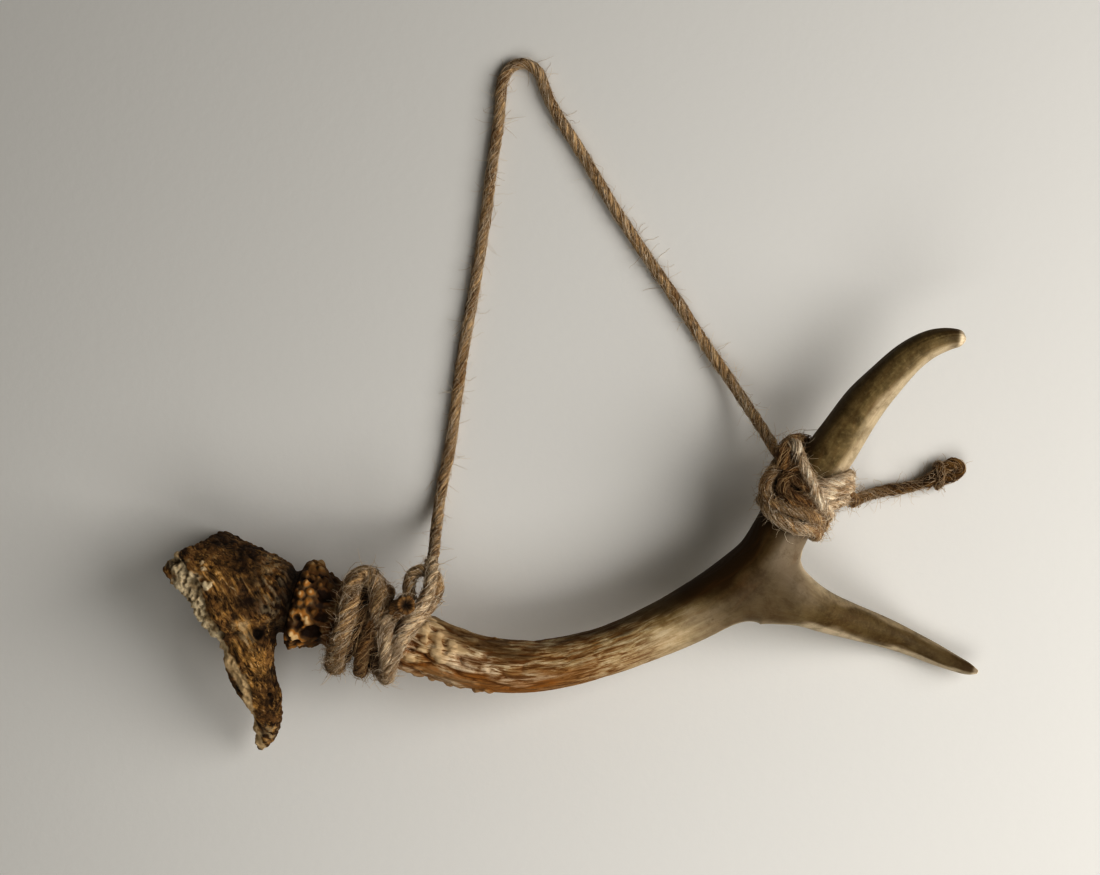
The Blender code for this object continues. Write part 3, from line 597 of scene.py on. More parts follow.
class Finish:
    """A material's nodes, added one at a time; each method returns the new node's output."""

    def __init__(self, name):
        self.material = bpy.data.materials.new(name)
        self.material.use_nodes = True
        self.tree = self.material.node_tree
        self.shader = self.tree.nodes["Principled BSDF"]

    def put(self, kind, wires=(), **settings):
        """A node of a kind with its settings, and its inputs wired or set by place or name."""
        node = self.tree.nodes.new(kind)
        for key, value in settings.items():
            setattr(node, key, value)
        for key, value in dict(wires).items():
            if isinstance(value, bpy.types.NodeSocket):
                self.tree.links.new(value, node.inputs[key])
            elif value is not None:
                node.inputs[key].default_value = value
        return node

    def own(self, name):
        """The piece's own attribute as a vector."""
        return self.put("ShaderNodeAttribute", attribute_name=name).outputs["Vector"]

    def number(self, name):
        """The same as a number."""
        return self.put("ShaderNodeAttribute", attribute_name=name).outputs["Fac"]

    def parts(self, vector):
        """A vector's three numbers."""
        node = self.put("ShaderNodeSeparateXYZ", {0: vector})
        return node.outputs[0], node.outputs[1], node.outputs[2]

    def noise(self, scale, detail, rough, twist=0.0, of=None):
        """Noise over the object coordinates or another vector, with one scale or one for each axis."""
        source = of or self.put("ShaderNodeTexCoord").outputs["Object"]
        scale = scale if isinstance(scale, tuple) else (scale, scale, scale)
        wires = {
            "Vector": self.put("ShaderNodeMapping", {"Vector": source, "Scale": scale}).outputs[0],
            "Scale": 1.0,
            "Detail": detail,
            "Roughness": rough,
            "Distortion": twist,
        }
        return self.put("ShaderNodeTexNoise", wires).outputs["Fac"]

    def ramp(self, value, low, high, to_low=0.0, to_high=1.0):
        """A number carried from one range to another, smooth at both ends and held beyond them."""
        wires = {0: value, 1: low, 2: high, 3: to_low, 4: to_high}
        return self.put("ShaderNodeMapRange", wires, interpolation_type="SMOOTHSTEP").outputs[0]

    def maths(self, how, first, second):
        """Two numbers added, subtracted or multiplied."""
        return self.put("ShaderNodeMath", {0: first, 1: second}, operation=how).outputs[0]

    def times(self, first, second):
        """Two numbers multiplied."""
        return self.maths("MULTIPLY", first, second)

    def plus(self, first, second):
        """Two numbers added."""
        return self.maths("ADD", first, second)

    def rest(self, share):
        """What a share leaves of one."""
        return self.maths("SUBTRACT", 1.0, share)

    def layers(self, colour, *layers):
        """A colour with others laid over it in turn, each by its own share."""
        for share, over in layers:
            colour = self.blend(share, colour, over)
        return colour

    def blend(self, share, first, second):
        """Two colours mixed by a share."""
        colours = [(*colour, 1.0) if isinstance(colour, tuple) else colour for colour in (first, second)]
        wires = {0: share, 6: colours[0], 7: colours[1]}
        return self.put("ShaderNodeMix", wires, data_type="RGBA", blend_type="MIX").outputs[2]

    def bump(self, height, strength, distance, under=None):
        """Relief from a height in units of a distance in millimetres."""
        wires = {"Height": height, "Strength": strength, "Distance": distance * MM, "Normal": under}
        return self.put("ShaderNodeBump", wires).outputs[0]

    def done(self, colour, roughness, normal, **settings):
        """Wires the shader's varying inputs and sets its constant ones on their own sockets."""
        for key, value in (("Base Color", colour), ("Roughness", roughness), ("Normal", normal)):
            if isinstance(value, bpy.types.NodeSocket):
                self.tree.links.new(value, self.shader.inputs[key])
            elif value is not None:
                self.shader.inputs[key].default_value = value
        for key, value in settings.items():
            self.shader.inputs[key.replace("_", " ")].default_value = value
        return self.material


def antler_finish():
    """Tan bone streaked along its grain, olive where it is old and smooth, dark in the grooves, with painted
    shade on its upper sides and painted light on its lower sides.

    The attribute grain is the place on the limb as if it were straight, with the third number along it.
    The attribute relief is the height from -1, a groove, to 1, a pearl. The attribute tint is three shares:
    cream, rust and dark, where the dark holds painted shade and the cream partly painted light. The attribute
    wear_and_painted_light is three more: how streaked, how golden and how olive, where the gold holds painted
    light on the burr's side that faces the light.
    """
    f = Finish("antler_bone")
    grain = f.own("grain")
    relief = f.number("relief")
    cream, rust, dark = f.parts(f.own("tint"))
    streaked, golden, olive = f.parts(f.own("wear_and_painted_light"))
    clouds = f.noise(110.0, 6.0, 0.62)
    mottle = f.noise(150.0, 7.0, 0.72, 0.15)
    freckles = f.noise(620.0, 4.0, 0.6)
    streaks = f.noise((0.8, 0.8, 0.12), 7.0, 0.68, 0.7, grain)
    threads = f.noise((3.0, 3.0, 0.25), 4.0, 0.7, 0.3, grain)
    flecks = f.noise((2.1, 2.1, 1.0), 4.0, 0.7, 0.0, grain)
    tan = f.layers(
        f.blend(f.ramp(clouds, 0.36, 0.64), (0.34, 0.245, 0.11), (0.56, 0.43, 0.235)),
        (f.ramp(streaks, 0.48, 0.66, 0.0, 0.6), (0.78, 0.66, 0.47)),
    )
    aged = f.layers(
        f.blend(f.ramp(mottle, 0.32, 0.68), (0.1, 0.07, 0.026), (0.26, 0.192, 0.088)),
        (f.ramp(freckles, 0.5, 0.68, 0.0, 0.25), (0.41, 0.32, 0.17)),
        (f.ramp(streaks, 0.56, 0.36, 0.0, 0.3), (0.12, 0.08, 0.03)),
    )
    plain = f.rest(golden)
    fine_streaks = f.times(f.ramp(threads, 0.5, 0.34, 0.0, 0.8), f.ramp(streaked, 0.16, 1.0, 0.08, 0.7))
    ridges = f.times(f.ramp(relief, 0.3, 0.85, 0.0, 0.7), f.rest(dark))
    ridges = f.times(ridges, f.ramp(rust, 0.1, 0.9, 1.0, 0.35))
    hollows = f.times(f.ramp(relief, 0.05, -0.42, 0.0, 0.93), plain)
    pits = f.ramp(relief, -0.46, -1.0, 0.0, 0.95)
    colour = f.layers(
        f.blend(olive, tan, aged),
        (f.times(rust, f.ramp(streaks, 0.34, 0.56, 0.6, 1.0)), (0.38, 0.165, 0.036)),
        # Cream: paler bone, and on the lower sides partly painted light.
        (f.times(cream, f.ramp(mottle, 0.34, 0.54, 0.6, 1.0)), (0.88, 0.75, 0.56)),
        # Tawny, brown and thin tan streaks.
        (f.times(f.ramp(streaks, 0.57, 0.45), f.ramp(streaked, 0.4, 1.0, 0.0, 0.72)), (0.36, 0.185, 0.06)),
        (f.times(f.ramp(streaks, 0.5, 0.38), f.ramp(streaked, 0.16, 1.0, 0.06, 0.9)), (0.16, 0.065, 0.014)),
        (fine_streaks, (0.2, 0.1, 0.028)),
        (f.ramp(flecks, 0.62, 0.7, 0.0, 0.6), (0.1, 0.052, 0.016)),
        # Dark: dark patches of the bone, and painted shade on the upper sides and the fork's front.
        (dark, (0.06, 0.032, 0.008)),
        # The burr's gold, painted light where it faces the light, the painted highlights on the tops of its
        # knobs, and the pale ridges of the beam.
        (f.times(golden, f.ramp(relief, -0.3, 0.35, 0.0, 1.0)), (0.42, 0.2, 0.05)),
        (f.times(golden, f.ramp(relief, 0.35, 0.9, 0.0, 0.85)), (0.75, 0.56, 0.31)),
        (f.times(ridges, plain), (0.74, 0.57, 0.35)),
        # The beam's hollows, the burr's, and the deepest pits of both.
        (f.times(hollows, f.ramp(streaks, 0.62, 0.44, 0.3, 1.0)), (0.21, 0.09, 0.022)),
        (f.times(f.ramp(relief, 0.0, -0.5, 0.0, 0.8), golden), (0.1, 0.042, 0.012)),
        (f.times(pits, f.ramp(golden, 0.0, 0.4, 0.55, 1.0)), (0.025, 0.01, 0.003)),
    )
    height = f.plus(f.times(streaks, 0.7), f.times(threads, 0.5))
    normal = f.bump(height, f.ramp(streaked, 0.16, 1.0, 0.12, 0.9), 0.5)
    normal = f.bump(flecks, 0.25, 0.25, normal)
    return f.done(colour, f.ramp(olive, 0.0, 1.0, 0.62, 0.5), normal, Specular_IOR_Level=0.22)


def skull_finish():
    """Dark brown bone with golden streaks, a cream spongy break and a pale fibrous patch.

    The attribute grain is the place along the streaks. The attribute tint is three shares: cream, gold, dark;
    the dark holds painted shade at the pedicle's neck under the burr.
    The attribute relief is the height from -1, a pit, to 1.
    """
    f = Finish("skull_bone")
    grain = f.own("grain")
    relief = f.number("relief")
    cream, gold, dark = f.parts(f.own("tint"))
    clouds = f.noise(170.0, 8.0, 0.7)
    broad = f.noise((0.3, 0.05, 0.3), 6.0, 0.62, 1.6, grain)
    streaks = f.noise((0.75, 0.11, 0.75), 8.0, 0.74, 1.4, grain)
    grit = f.noise(900.0, 4.0, 0.75)
    golds = f.plus(f.ramp(broad, 0.47, 0.6, 0.0, 0.8), gold)
    golds = f.times(golds, f.ramp(streaks, 0.42, 0.58, 0.2, 1.0))
    creams = f.times(cream, f.ramp(grit, 0.3, 0.48, 0.55, 1.0))
    low_end = f.ramp(f.parts(grain)[1], -36.0, -24.0, 0.0, 0.6)
    light_fibres = f.times(f.ramp(streaks, 0.56, 0.68, 0.0, 0.85), f.ramp(golds, 0.1, 0.8, 0.12, 1.0))
    pits = f.ramp(relief, -0.1, -0.8, 0.0, 0.92)
    colour = f.layers(
        f.blend(f.ramp(clouds, 0.42, 0.58), (0.045, 0.021, 0.008), (0.29, 0.155, 0.055)),
        (golds, (0.66, 0.385, 0.125)),
        # Light fibres and dark cracks along the streaks.
        (light_fibres, (0.93, 0.76, 0.5)),
        (f.ramp(streaks, 0.46, 0.37, 0.0, 0.92), (0.035, 0.014, 0.005)),
        # The break's cream, warmer at its low end and in clouds.
        (creams, (1.0, 0.84, 0.58)),
        (f.times(low_end, creams), (0.8, 0.54, 0.26)),
        (f.times(f.ramp(clouds, 0.52, 0.4, 0.0, 0.7), creams), (0.55, 0.38, 0.19)),
        # Dark spots of the bone, and painted shade at the pedicle's neck.
        (f.times(dark, f.ramp(clouds, 0.3, 0.65, 1.0, 0.75)), (0.03, 0.013, 0.004)),
        (f.times(pits, f.ramp(cream, 0.3, 1.0, 1.0, 0.4)), (0.03, 0.016, 0.007)),
    )
    normal = f.bump(streaks, 1.0, 1.1)
    normal = f.bump(grit, 0.8, 0.5, normal)
    return f.done(colour, f.ramp(streaks, 0.3, 0.7, 0.8, 0.55), normal, Specular_IOR_Level=0.3)


def jute_finish(name, light, middle, dark):
    """Jute: fine fibres along the grain, light to dark, stained here and there, with painted shade where
    relief is low.
    """
    f = Finish(name)
    grain = f.own("grain")
    fibres = f.noise((4.5, 4.5, 0.3), 4.0, 0.65, 0.3, grain)
    lengths = f.noise((1.5, 1.5, 0.12), 4.0, 0.6, 0.0, grain)
    stains = f.noise(150.0, 4.0, 0.6)
    colour = f.layers(
        f.blend(f.ramp(lengths, 0.38, 0.6), dark, middle),
        (f.ramp(fibres, 0.44, 0.62, 0.0, 0.9), light),
        (f.ramp(fibres, 0.42, 0.3, 0.0, 0.8), dark),
        (f.ramp(stains, 0.48, 0.62, 0.0, 0.75), dark),
        # Painted shade where relief is low: in the valleys between the plies and in the cut end's core.
        (f.ramp(f.number("relief"), -0.05, -0.9, 0.0, 0.9), tuple(0.25 * x for x in dark)),
    )
    normal = f.bump(f.plus(fibres, f.times(lengths, 0.6)), 0.8, 0.5)
    return f.done(colour, 0.88, normal, Specular_IOR_Level=0.15, Sheen_Weight=0.15, Sheen_Roughness=0.5)


def fibre_finish(name, root, tip):
    """Single jute fibres, each with its own tone from the attribute tone."""
    f = Finish(name)
    colour = f.blend(f.number("tone"), root, tip)
    return f.done(colour, 0.7, None, Specular_IOR_Level=0.3)


# --- Strands and fibres -----------------------------------------------------------------------------------


def evenly(route, count):
    """Points evenly spaced along the smooth curve through a route's own points."""
    route = np.array(route, float)
    fine = natural_spline(distances(route), route, np.linspace(0.0, distances(route)[-1], 40 * count))
    along = distances(fine)
    at = np.linspace(0.0, along[-1], count)
    return np.stack([np.interp(at, along, fine[:, k]) for k in range(3)], axis=1)


def frames_on(line, near):
    """The directions along a line and square to it: near made square to the line, and the one beside it."""
    ahead = unit(np.gradient(line, axis=0))
    near = np.broadcast_to(np.asarray(near, float), line.shape)
    up = unit(near - ahead * (near * ahead).sum(axis=1, keepdims=True))
    return ahead, np.cross(up, ahead), up


# A cord's plies, a slack strand's yarns with the length of one turn of them, and the points round a yarn.
PLIES, YARNS, SLACK_TWIST, YARN_SIDES = 3, 3, 24.0, 20


def twisted_cord(name, line, near, diameter, depth, pitch=TWIST, sides=36, seed=1):
    """One closed tube whose section is the outline of twisted plies, turned by one turn each pitch.

    The outline's radius at an angle from the nearest ply's middle is c cos a + sqrt(r^2 - c^2 sin^2 a), where
    each ply has the radius r and lies at c from the line, which is depth times the diameter. Fine fibres
    along the plies lift it a little.
    """
    along = distances(line)
    ahead, side, up = frames_on(line, near)
    angle = full_turn(sides)
    turned = angle[None, :] - 2 * math.pi * along[:, None] / pitch
    away = np.angle(np.exp(1j * turned * PLIES)) / PLIES
    ply, centre = (0.5 - depth) * diameter, depth * diameter
    radius = centre * np.cos(away) + np.sqrt(ply**2 - (centre * np.sin(away)) ** 2)
    grain = straight(along[:, None], turned, radius)
    hairs = layered_noise(grain * np.array([2.6, 2.6, 0.3]), seed, 2) - 0.5
    slack = soft_noise(grain * np.array([0.05, 0.05, 0.11]), seed + 7) - 0.5
    valley = (np.abs(away) * PLIES / math.pi) ** 3
    ends = 0.55 + 0.45 * inside_ends(along, 1.2)
    radius = radius * (0.97 + 0.26 * hairs + 0.2 * slack) * ends[:, None]
    points = closed(rings_round(line[:, None], radius[..., None], angle, side, up), line, ahead, 0.3)
    points[:, 2] = np.maximum(points[:, 2], 0.0)
    mesh = mesh_of(name, points, *ring_faces(len(line), sides))
    write_attribute(mesh, "grain", with_ends(grain))
    # The relief is low in the valleys between the plies, where the finish paints shade.
    write_attribute(mesh, "relief", with_ends(-valley * 3.4 * depth + hairs * 0.7))
    return mesh


def loose_yarns(name, line, near, thickness, seed, flat):
    """Slack twine: yarns that wind loosely round one line, each a closed tube roughened along its fibres.

    Yarn k lies at the line + c (cos t side + flat sin t up) with t = 2 pi (k / yarns + along / twist) plus a
    slow wander, and its radius swells and thins with noise.
    """
    along = distances(line)
    ahead, side, up = frames_on(line, near)
    points, grains, heights = [], [], []
    angle = full_turn(YARN_SIDES)
    ends = 0.6 + 0.4 * inside_ends(along, 1.0)
    for yarn in range(YARNS):
        slow = np.stack([along / 9.0, np.full_like(along, yarn * 3.7), np.zeros_like(along)], axis=1)
        wander = 2.6 * (layered_noise(slow, seed + yarn) - 0.5)
        turn = 2 * math.pi * (yarn / YARNS + along / SLACK_TWIST) + wander
        reach = thickness * (0.19 + 0.12 * (soft_noise(slow + 5.0, seed + 11 + yarn) - 0.5))
        middle = line + (reach * np.cos(turn))[:, None] * side + (flat * reach * np.sin(turn))[:, None] * up
        own_turn = angle[None, :] - 2 * math.pi * along[:, None] / (0.62 * SLACK_TWIST)
        swell = 1 + 0.36 * (soft_noise(slow * 1.7 + 9.0, seed + 23 + yarn) - 0.5)
        radius = thickness * 0.285 * swell[:, None] * np.ones(YARN_SIDES)
        grain = straight(along[:, None], own_turn, radius)
        hairs = layered_noise(grain * np.array([2.2, 2.2, 0.16]) + 31.0 * yarn, seed + 5, 3) - 0.5
        radius = radius * (1 + 0.62 * hairs) * ends[:, None]
        rings = rings_round(middle[:, None], radius[..., None], angle, side, up)
        points.append(closed(rings, middle, ahead, 0.4))
        grains.append(with_ends(grain + 13.0 * yarn))
        heights.append(with_ends(hairs * 1.6))
    mesh = mesh_of(name, np.vstack(points), *ring_faces(len(line), YARN_SIDES, YARNS))
    write_attribute(mesh, "grain", np.vstack(grains))
    write_attribute(mesh, "relief", np.concatenate(heights))
    return mesh


def fibres(name, paths, thickness, tones):
    """Many fine fibres as three-sided closed tubes: each ring is the path's point plus a small triangle.

    Thickness is one number or one for each fibre, in millimetres.
    """
    count, steps = paths.shape[:2]
    ahead = unit(np.gradient(paths, axis=1))
    side = unit(np.cross(ahead, np.array([0.31, -0.43, 0.85])))
    up = np.cross(ahead, side)
    thin = np.reshape(thickness, (-1, 1, 1, 1)) * np.linspace(1.0, 0.45, steps)[None, :, None, None]
    rings = rings_round(paths[:, :, None], thin, full_turn(3), side, up)
    points = np.concatenate([rings.reshape(count, -1, 3), paths[:, :1], paths[:, -1:]], axis=1)
    mesh = mesh_of(name, points.reshape(-1, 3), *ring_faces(steps, 3, count))
    write_attribute(mesh, "tone", np.repeat(tones, steps * 3 + 2))
    return mesh


def clinging_paths(line, near, radius, count, seed, length, leave, flat=1.0, steps=8):
    """Paths of fibres that run along a strand on its surface and part from it a little towards their ends.

    Each path lies at the strand's line + r (cos t beside + flat sin t above), where t turns slowly and r
    grows from the radius by a random share of leave.
    """
    rng = np.random.default_rng(seed)
    along = distances(line)
    _, side, up = frames_on(line, near)
    start = rng.uniform(-2.0, along[-1], count)
    reach = rng.uniform(*length, count)
    share = np.linspace(0.0, 1.0, steps)
    at = np.clip(start[:, None] + reach[:, None] * share, 0.0, along[-1])
    turn = rng.uniform(0, 2 * math.pi, count)[:, None] + at * rng.uniform(0.12, 0.34, count)[:, None]
    turn = turn + rng.normal(0, 0.8, (count, 1)) * np.sin(share * math.pi * rng.uniform(0.8, 2.4, (count, 1)))
    lift = radius * rng.uniform(0.9, 1.04, (count, 1))
    stray = rng.exponential(leave, (count, 1)) * share**rng.uniform(1.5, 3.5, (count, 1))
    start_up = rng.exponential(leave * 0.4, (count, 1)) * (1 - share) ** 3
    reach_out = lift + stray + start_up

    def read(values):
        return np.stack([np.interp(at, along, values[:, k]) for k in range(3)], axis=-1)

    middle, beside, above = read(line), unit(read(side)), unit(read(up))
    return middle + reach_out[..., None] * (
        np.cos(turn)[..., None] * beside + flat * np.sin(turn)[..., None] * above
    )


def stray_paths(line, near, radius, count, seed, length, curl=0.5, steps=12):
    """Paths of single hairs: each leaves the strand outwards and wanders, its direction turning step by step.

    The path is the running sum of unit steps whose direction is its first one plus the running sum of small
    random turns.
    """
    rng = np.random.default_rng(seed)
    ahead, side, up = frames_on(line, near)
    at = rng.integers(0, len(line), count)
    turn = rng.uniform(0, 2 * math.pi, count)[:, None]
    out = np.cos(turn) * side[at] + np.sin(turn) * up[at]
    slide = rng.normal(0, 1.0, (count, 1))
    first = unit(out * rng.uniform(0.3, 1.0, (count, 1)) + ahead[at] * slide)
    turns = np.cumsum(rng.normal(0, curl / math.sqrt(steps), (count, steps, 3)), axis=1)
    direction = unit(first[:, None] + turns + 0.5 * np.cumsum(turns, axis=1) / steps)
    step = rng.uniform(*length, (count, 1, 1)) / steps
    begin = line[at] + out * radius * rng.uniform(0.7, 0.95, (count, 1))
    return begin[:, None] + np.cumsum(direction * step, axis=1)


def above_floor(paths, least=0.12):
    """Keeps fibres on or above the floor."""
    paths = paths.copy()
    paths[..., 2] = np.maximum(paths[..., 2], least)
    return paths


def spread(count, seed, low, high):
    """Seeded random numbers, evenly spread from low to high."""
    return np.random.default_rng(seed).uniform(low, high, count)


# --- Camera, floor and light -------------------------------------------------------------------------------


def build_camera():
    """Straight down from 0.88 m over the photo's middle, with the photo's width of view."""
    data = bpy.data.cameras.new("camera")
    data.sensor_width = 36.0
    data.lens = 77.7
    data.clip_start = 0.01
    camera = bpy.data.objects.new("camera", data)
    camera.location = (-0.009617, 0.038037, 0.88)
    bpy.context.scene.collection.objects.link(camera)
    bpy.context.scene.camera = camera


def build_floor():
    """A plain pale floor with the faintest roughness."""
    half = 4000.0
    points = np.array([(-half, -half, 0.0), (half, -half, 0.0), (half, half, 0.0), (-half, half, 0.0)])
    mesh = mesh_of("floor", points, np.array([[0, 1, 2, 3]]))
    f = Finish("pale_floor")
    grain = f.noise(260.0, 5.0, 0.6)
    normal = f.bump(grain, 0.25, 0.25)
    mesh.materials.append(f.done((0.80, 0.79, 0.765, 1.0), 0.9, normal, Specular_IOR_Level=0.2))
    floor = bpy.data.objects.new("floor", mesh)
    bpy.context.scene.collection.objects.link(floor)


def aim(thing, target):
    """Turns a light so that it shines from where it is towards a target."""
    away = np.array(thing.location) - np.array(target)
    flat = math.hypot(away[0], away[1])
    thing.rotation_euler = (math.atan2(flat, away[2]), 0.0, math.atan2(away[1], away[0]) + math.pi / 2)


def soft_light(name, place, target, size, energy, colour):
    """A rectangle of light at a place, turned towards a target."""
    data = bpy.data.lights.new(name, "AREA")
    data.shape = "RECTANGLE"
    data.size, data.size_y = size
    data.energy = energy
    data.color = colour
    lamp = bpy.data.objects.new(name, data)
    lamp.location = place
    aim(lamp, target)
    bpy.context.scene.collection.objects.link(lamp)


# The picture's tone curve is the level to this power.
TONE = 1.4


def build_light():
    """A broad window of light from the right, a weaker one from below and a faint light from all round."""
    soft_light("key", (0.75, 0.03, 0.66), (0.0, -0.03, 0.0), (0.72, 0.8), 9.2, (1.0, 0.985, 0.965))
    soft_light("lower", (0.09, -0.4, 0.53), (0.02, -0.08, 0.0), (0.5, 0.4), 1.6, (1.0, 0.99, 0.97))
    world = bpy.data.worlds.new("world")
    world.use_nodes = True
    world.node_tree.nodes["Background"].inputs["Color"].default_value = (1.0, 0.94, 0.81, 1.0)
    world.node_tree.nodes["Background"].inputs["Strength"].default_value = 0.115
    bpy.context.scene.world = world
    view = bpy.context.scene.view_settings
    view.view_transform = "Standard"
    view.use_curve_mapping = True
    tone = view.curve_mapping.curves[3]
    for level in (0.04, 0.12, 0.3, 0.6):
        tone.points.new(level, level**TONE)
    view.curve_mapping.update()


# --- The twine ----------------------------------------------------------------------------------------------


def build_free_twine(jute, tail_jute, fluff):
    """The hanging loop and the tail, which lie on the floor, each a twisted cord with its own fuzz."""
    line = evenly(HANGING_ROUTE, 900)
    mesh = twisted_cord("hanging_twine_cord", line, UP, TWINE, 0.13)
    cord = add_piece("hanging_twine_cord", mesh, jute, ["hanging_twine"])
    lying, standing = (TWINE / 2 * 0.97, 1900, 11, (5.0, 18.0), 0.3), (TWINE / 2, 420, 12, (2.5, 9.0))
    fuzz = add_fuzz("hanging_twine_fuzz", line, lying, standing, 13, 0.9, fluff)
    tail_line = evenly(TAIL_ROUTE, 110)
    mesh = twisted_cord("tail_twine_cord", tail_line, UP, TWINE * 1.06, 0.2, TIGHT_TWIST, seed=5)
    tail = add_piece("tail_twine_cord", mesh, tail_jute, ["tail_twine"])
    lying, standing = (TWINE / 2 * 0.99, 260, 15, (4.0, 12.0), 0.35), (TWINE / 2, 110, 16, (2.5, 8.0))
    tail_fuzz = add_fuzz("tail_twine_fuzz", tail_line, lying, standing, 17, 0.55, fluff)
    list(build_tail_knot(tail_jute, fluff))


def add_fuzz(name, line, lying, standing, seed, palest, finish):
    """Fibres that lie on a strand, thicker, and single hairs that stand off it, thinner, as one piece.

    Lying and standing each give the radius, the count, the seed and the range of lengths.
    """
    clinging = clinging_paths(line, UP, *lying, steps=9)
    strays = stray_paths(line, UP, *standing, steps=9)
    paths = above_floor(np.concatenate([clinging, strays]))
    thick = [spread(len(clinging), seed, 0.05, 0.13), spread(len(strays), seed + 1, 0.045, 0.075)]
    tones = palest * spread(len(paths), seed + 2, 0.0, 1.0) ** 1.3
    return add_piece(name, fibres(name, paths, np.concatenate(thick), tones), finish)


def build_tail_knot(jute, fluff):
    """The tail's end knot: a loop of the twine doubled back on itself, a turn round its neck, and fuzz."""
    turn = math.radians(TAIL_KNOT_TURN)
    pieces = []
    for name, route, thickness, seed, stands_for in (
        ("tail_end_knot", KNOT_LOOP, 4.5, 9, ["tail_knot"]),
        ("tail_knot_turn", KNOT_NECK, 3.3, 10, ()),
    ):
        x, y, z = evenly(route, 110).T
        turned = [x * math.cos(turn) - y * math.sin(turn), x * math.sin(turn) + y * math.cos(turn), z]
        line = np.stack(turned, axis=1) + np.array(TAIL_KNOT_CENTRE)
        mesh = twisted_cord(name, line, UP, thickness, 0.19, TIGHT_TWIST, 30, seed)
        pieces.append(add_piece(name, mesh, jute, stands_for))
        lying = (thickness / 2, 90, seed + 60, (3.0, 9.0), 0.3)
        standing = (thickness / 2, 45, seed + 70, (1.5, 5.0))
        pieces.append(add_fuzz(name + "_fuzz", line, lying, standing, seed + 80, 0.5, fluff))
    return pieces


def outward_from_limb(line):
    """The direction away from the main limb's middle line at each point of a strand."""
    limb = Limb(MAIN_LIMB)
    middle = limb.read(np.linspace(0.0, limb.length, 300))[0]
    return unit(line - middle[nearest_rows(line, middle)])


def cut_stub(name, line, diameter, seed, sides=40):
    """The twine's cut end, seen end on: a tube of frayed fibres that turns in to a hollow core, dark with
    painted shade.

    After the line's own rings come four that fold in over the rim: share is their part of the radius, shift
    how far they lie before the line's end and deep their tone, which darkens the core as painted shade.
    """
    ahead, side, up = frames_on(line, (1.0, 0.0, 0.0))
    angle = full_turn(sides)
    tube = np.zeros(len(line))
    rows = np.concatenate([np.arange(len(line)), [len(line) - 1] * 4])
    share = np.concatenate([tube + 1, [0.93, 0.74, 0.5, 0.2]])
    shift = np.concatenate([tube, [0.5, 0.45, -0.5, -1.3]])
    deep = np.concatenate([tube, [0.1, -0.1, -0.55, -0.8]])
    grain = straight(rows[:, None] * 0.3, angle + 0 * rows[:, None], 3)
    rough = layered_noise(grain * np.array([1.4, 1.4, 0.5]), seed, 2) - 0.5
    radius = diameter / 2 * share[:, None] * (1 + 0.3 * rough)
    height = shift[:, None] + 0.9 * rough * (shift != 0)[:, None]
    middle = line[rows][:, None] + ahead[rows][:, None] * height[..., None]
    points = rings_round(middle, radius[..., None], angle, side[rows], up[rows])
    ends = [line[0], line[-1] - ahead[-1] * 1.5]
    mesh = mesh_of(name, np.vstack([points.reshape(-1, 3), ends]), *ring_faces(len(rows), sides))
    write_attribute(mesh, "grain", with_ends(grain))
    relief = with_ends(deep[:, None] + 0.4 * rough)
    relief[-1] = -1.0
    write_attribute(mesh, "relief", relief)
    return mesh


def lay_strand(name, route, thickness, finish, seed, flat, stands_for=()):
    """A slack strand along its route: its piece, and its line, outward direction and thickness for fuzz."""
    line = evenly(route, int(distances(route)[-1] / 0.36))
    out = outward_from_limb(line)
    add_piece(name, loose_yarns(name, line, out, thickness, seed, flat), finish, stands_for)
    return line, out, thickness


def lay_cord(name, route, thickness, finish, seed, depth, near=UP, pitch=TWIST):
    """A short twisted stretch of the twine, and the same for its fuzz."""
    line = evenly(route, int(distances(route)[-1] / 0.3))
    add_piece(name, twisted_cord(name, line, near, thickness, depth, pitch, seed=seed), finish)
    return line, near, thickness


def fuzz_strands(name, strands, finish, seed, per_mm, hairs_per_mm, leave):
    """Fibres along each of many strands in step with its length, and single hairs off them, as two pieces."""
    lying, loose = [], []
    for k, (line, out, thickness) in enumerate(strands):
        length = distances(line)[-1]
        count, hairs = int(length * per_mm * thickness / 5.0), int(length * hairs_per_mm)
        lying.append(clinging_paths(line, out, thickness * 0.48, count, seed + k, (5.0, 17.0), leave, 0.85))
        loose.append(stray_paths(line, out, thickness / 2, hairs, seed + 30 + k, (1.5, 7.0), 1.1))
    lying, loose = above_floor(np.concatenate(lying)), above_floor(np.concatenate(loose))
    tones = spread(len(lying), seed + 60, 0.0, 1.0) ** 1.3
    mesh = fibres(name + "_fluff", lying, spread(len(lying), seed + 61, 0.05, 0.17), tones)
    add_piece(name + "_fluff", mesh, finish)
    tones = spread(len(loose), seed + 63, 0.1, 1.0)
    mesh = fibres(name + "_hairs", loose, spread(len(loose), seed + 62, 0.045, 0.085), tones)
    add_piece(name + "_hairs", mesh, finish)


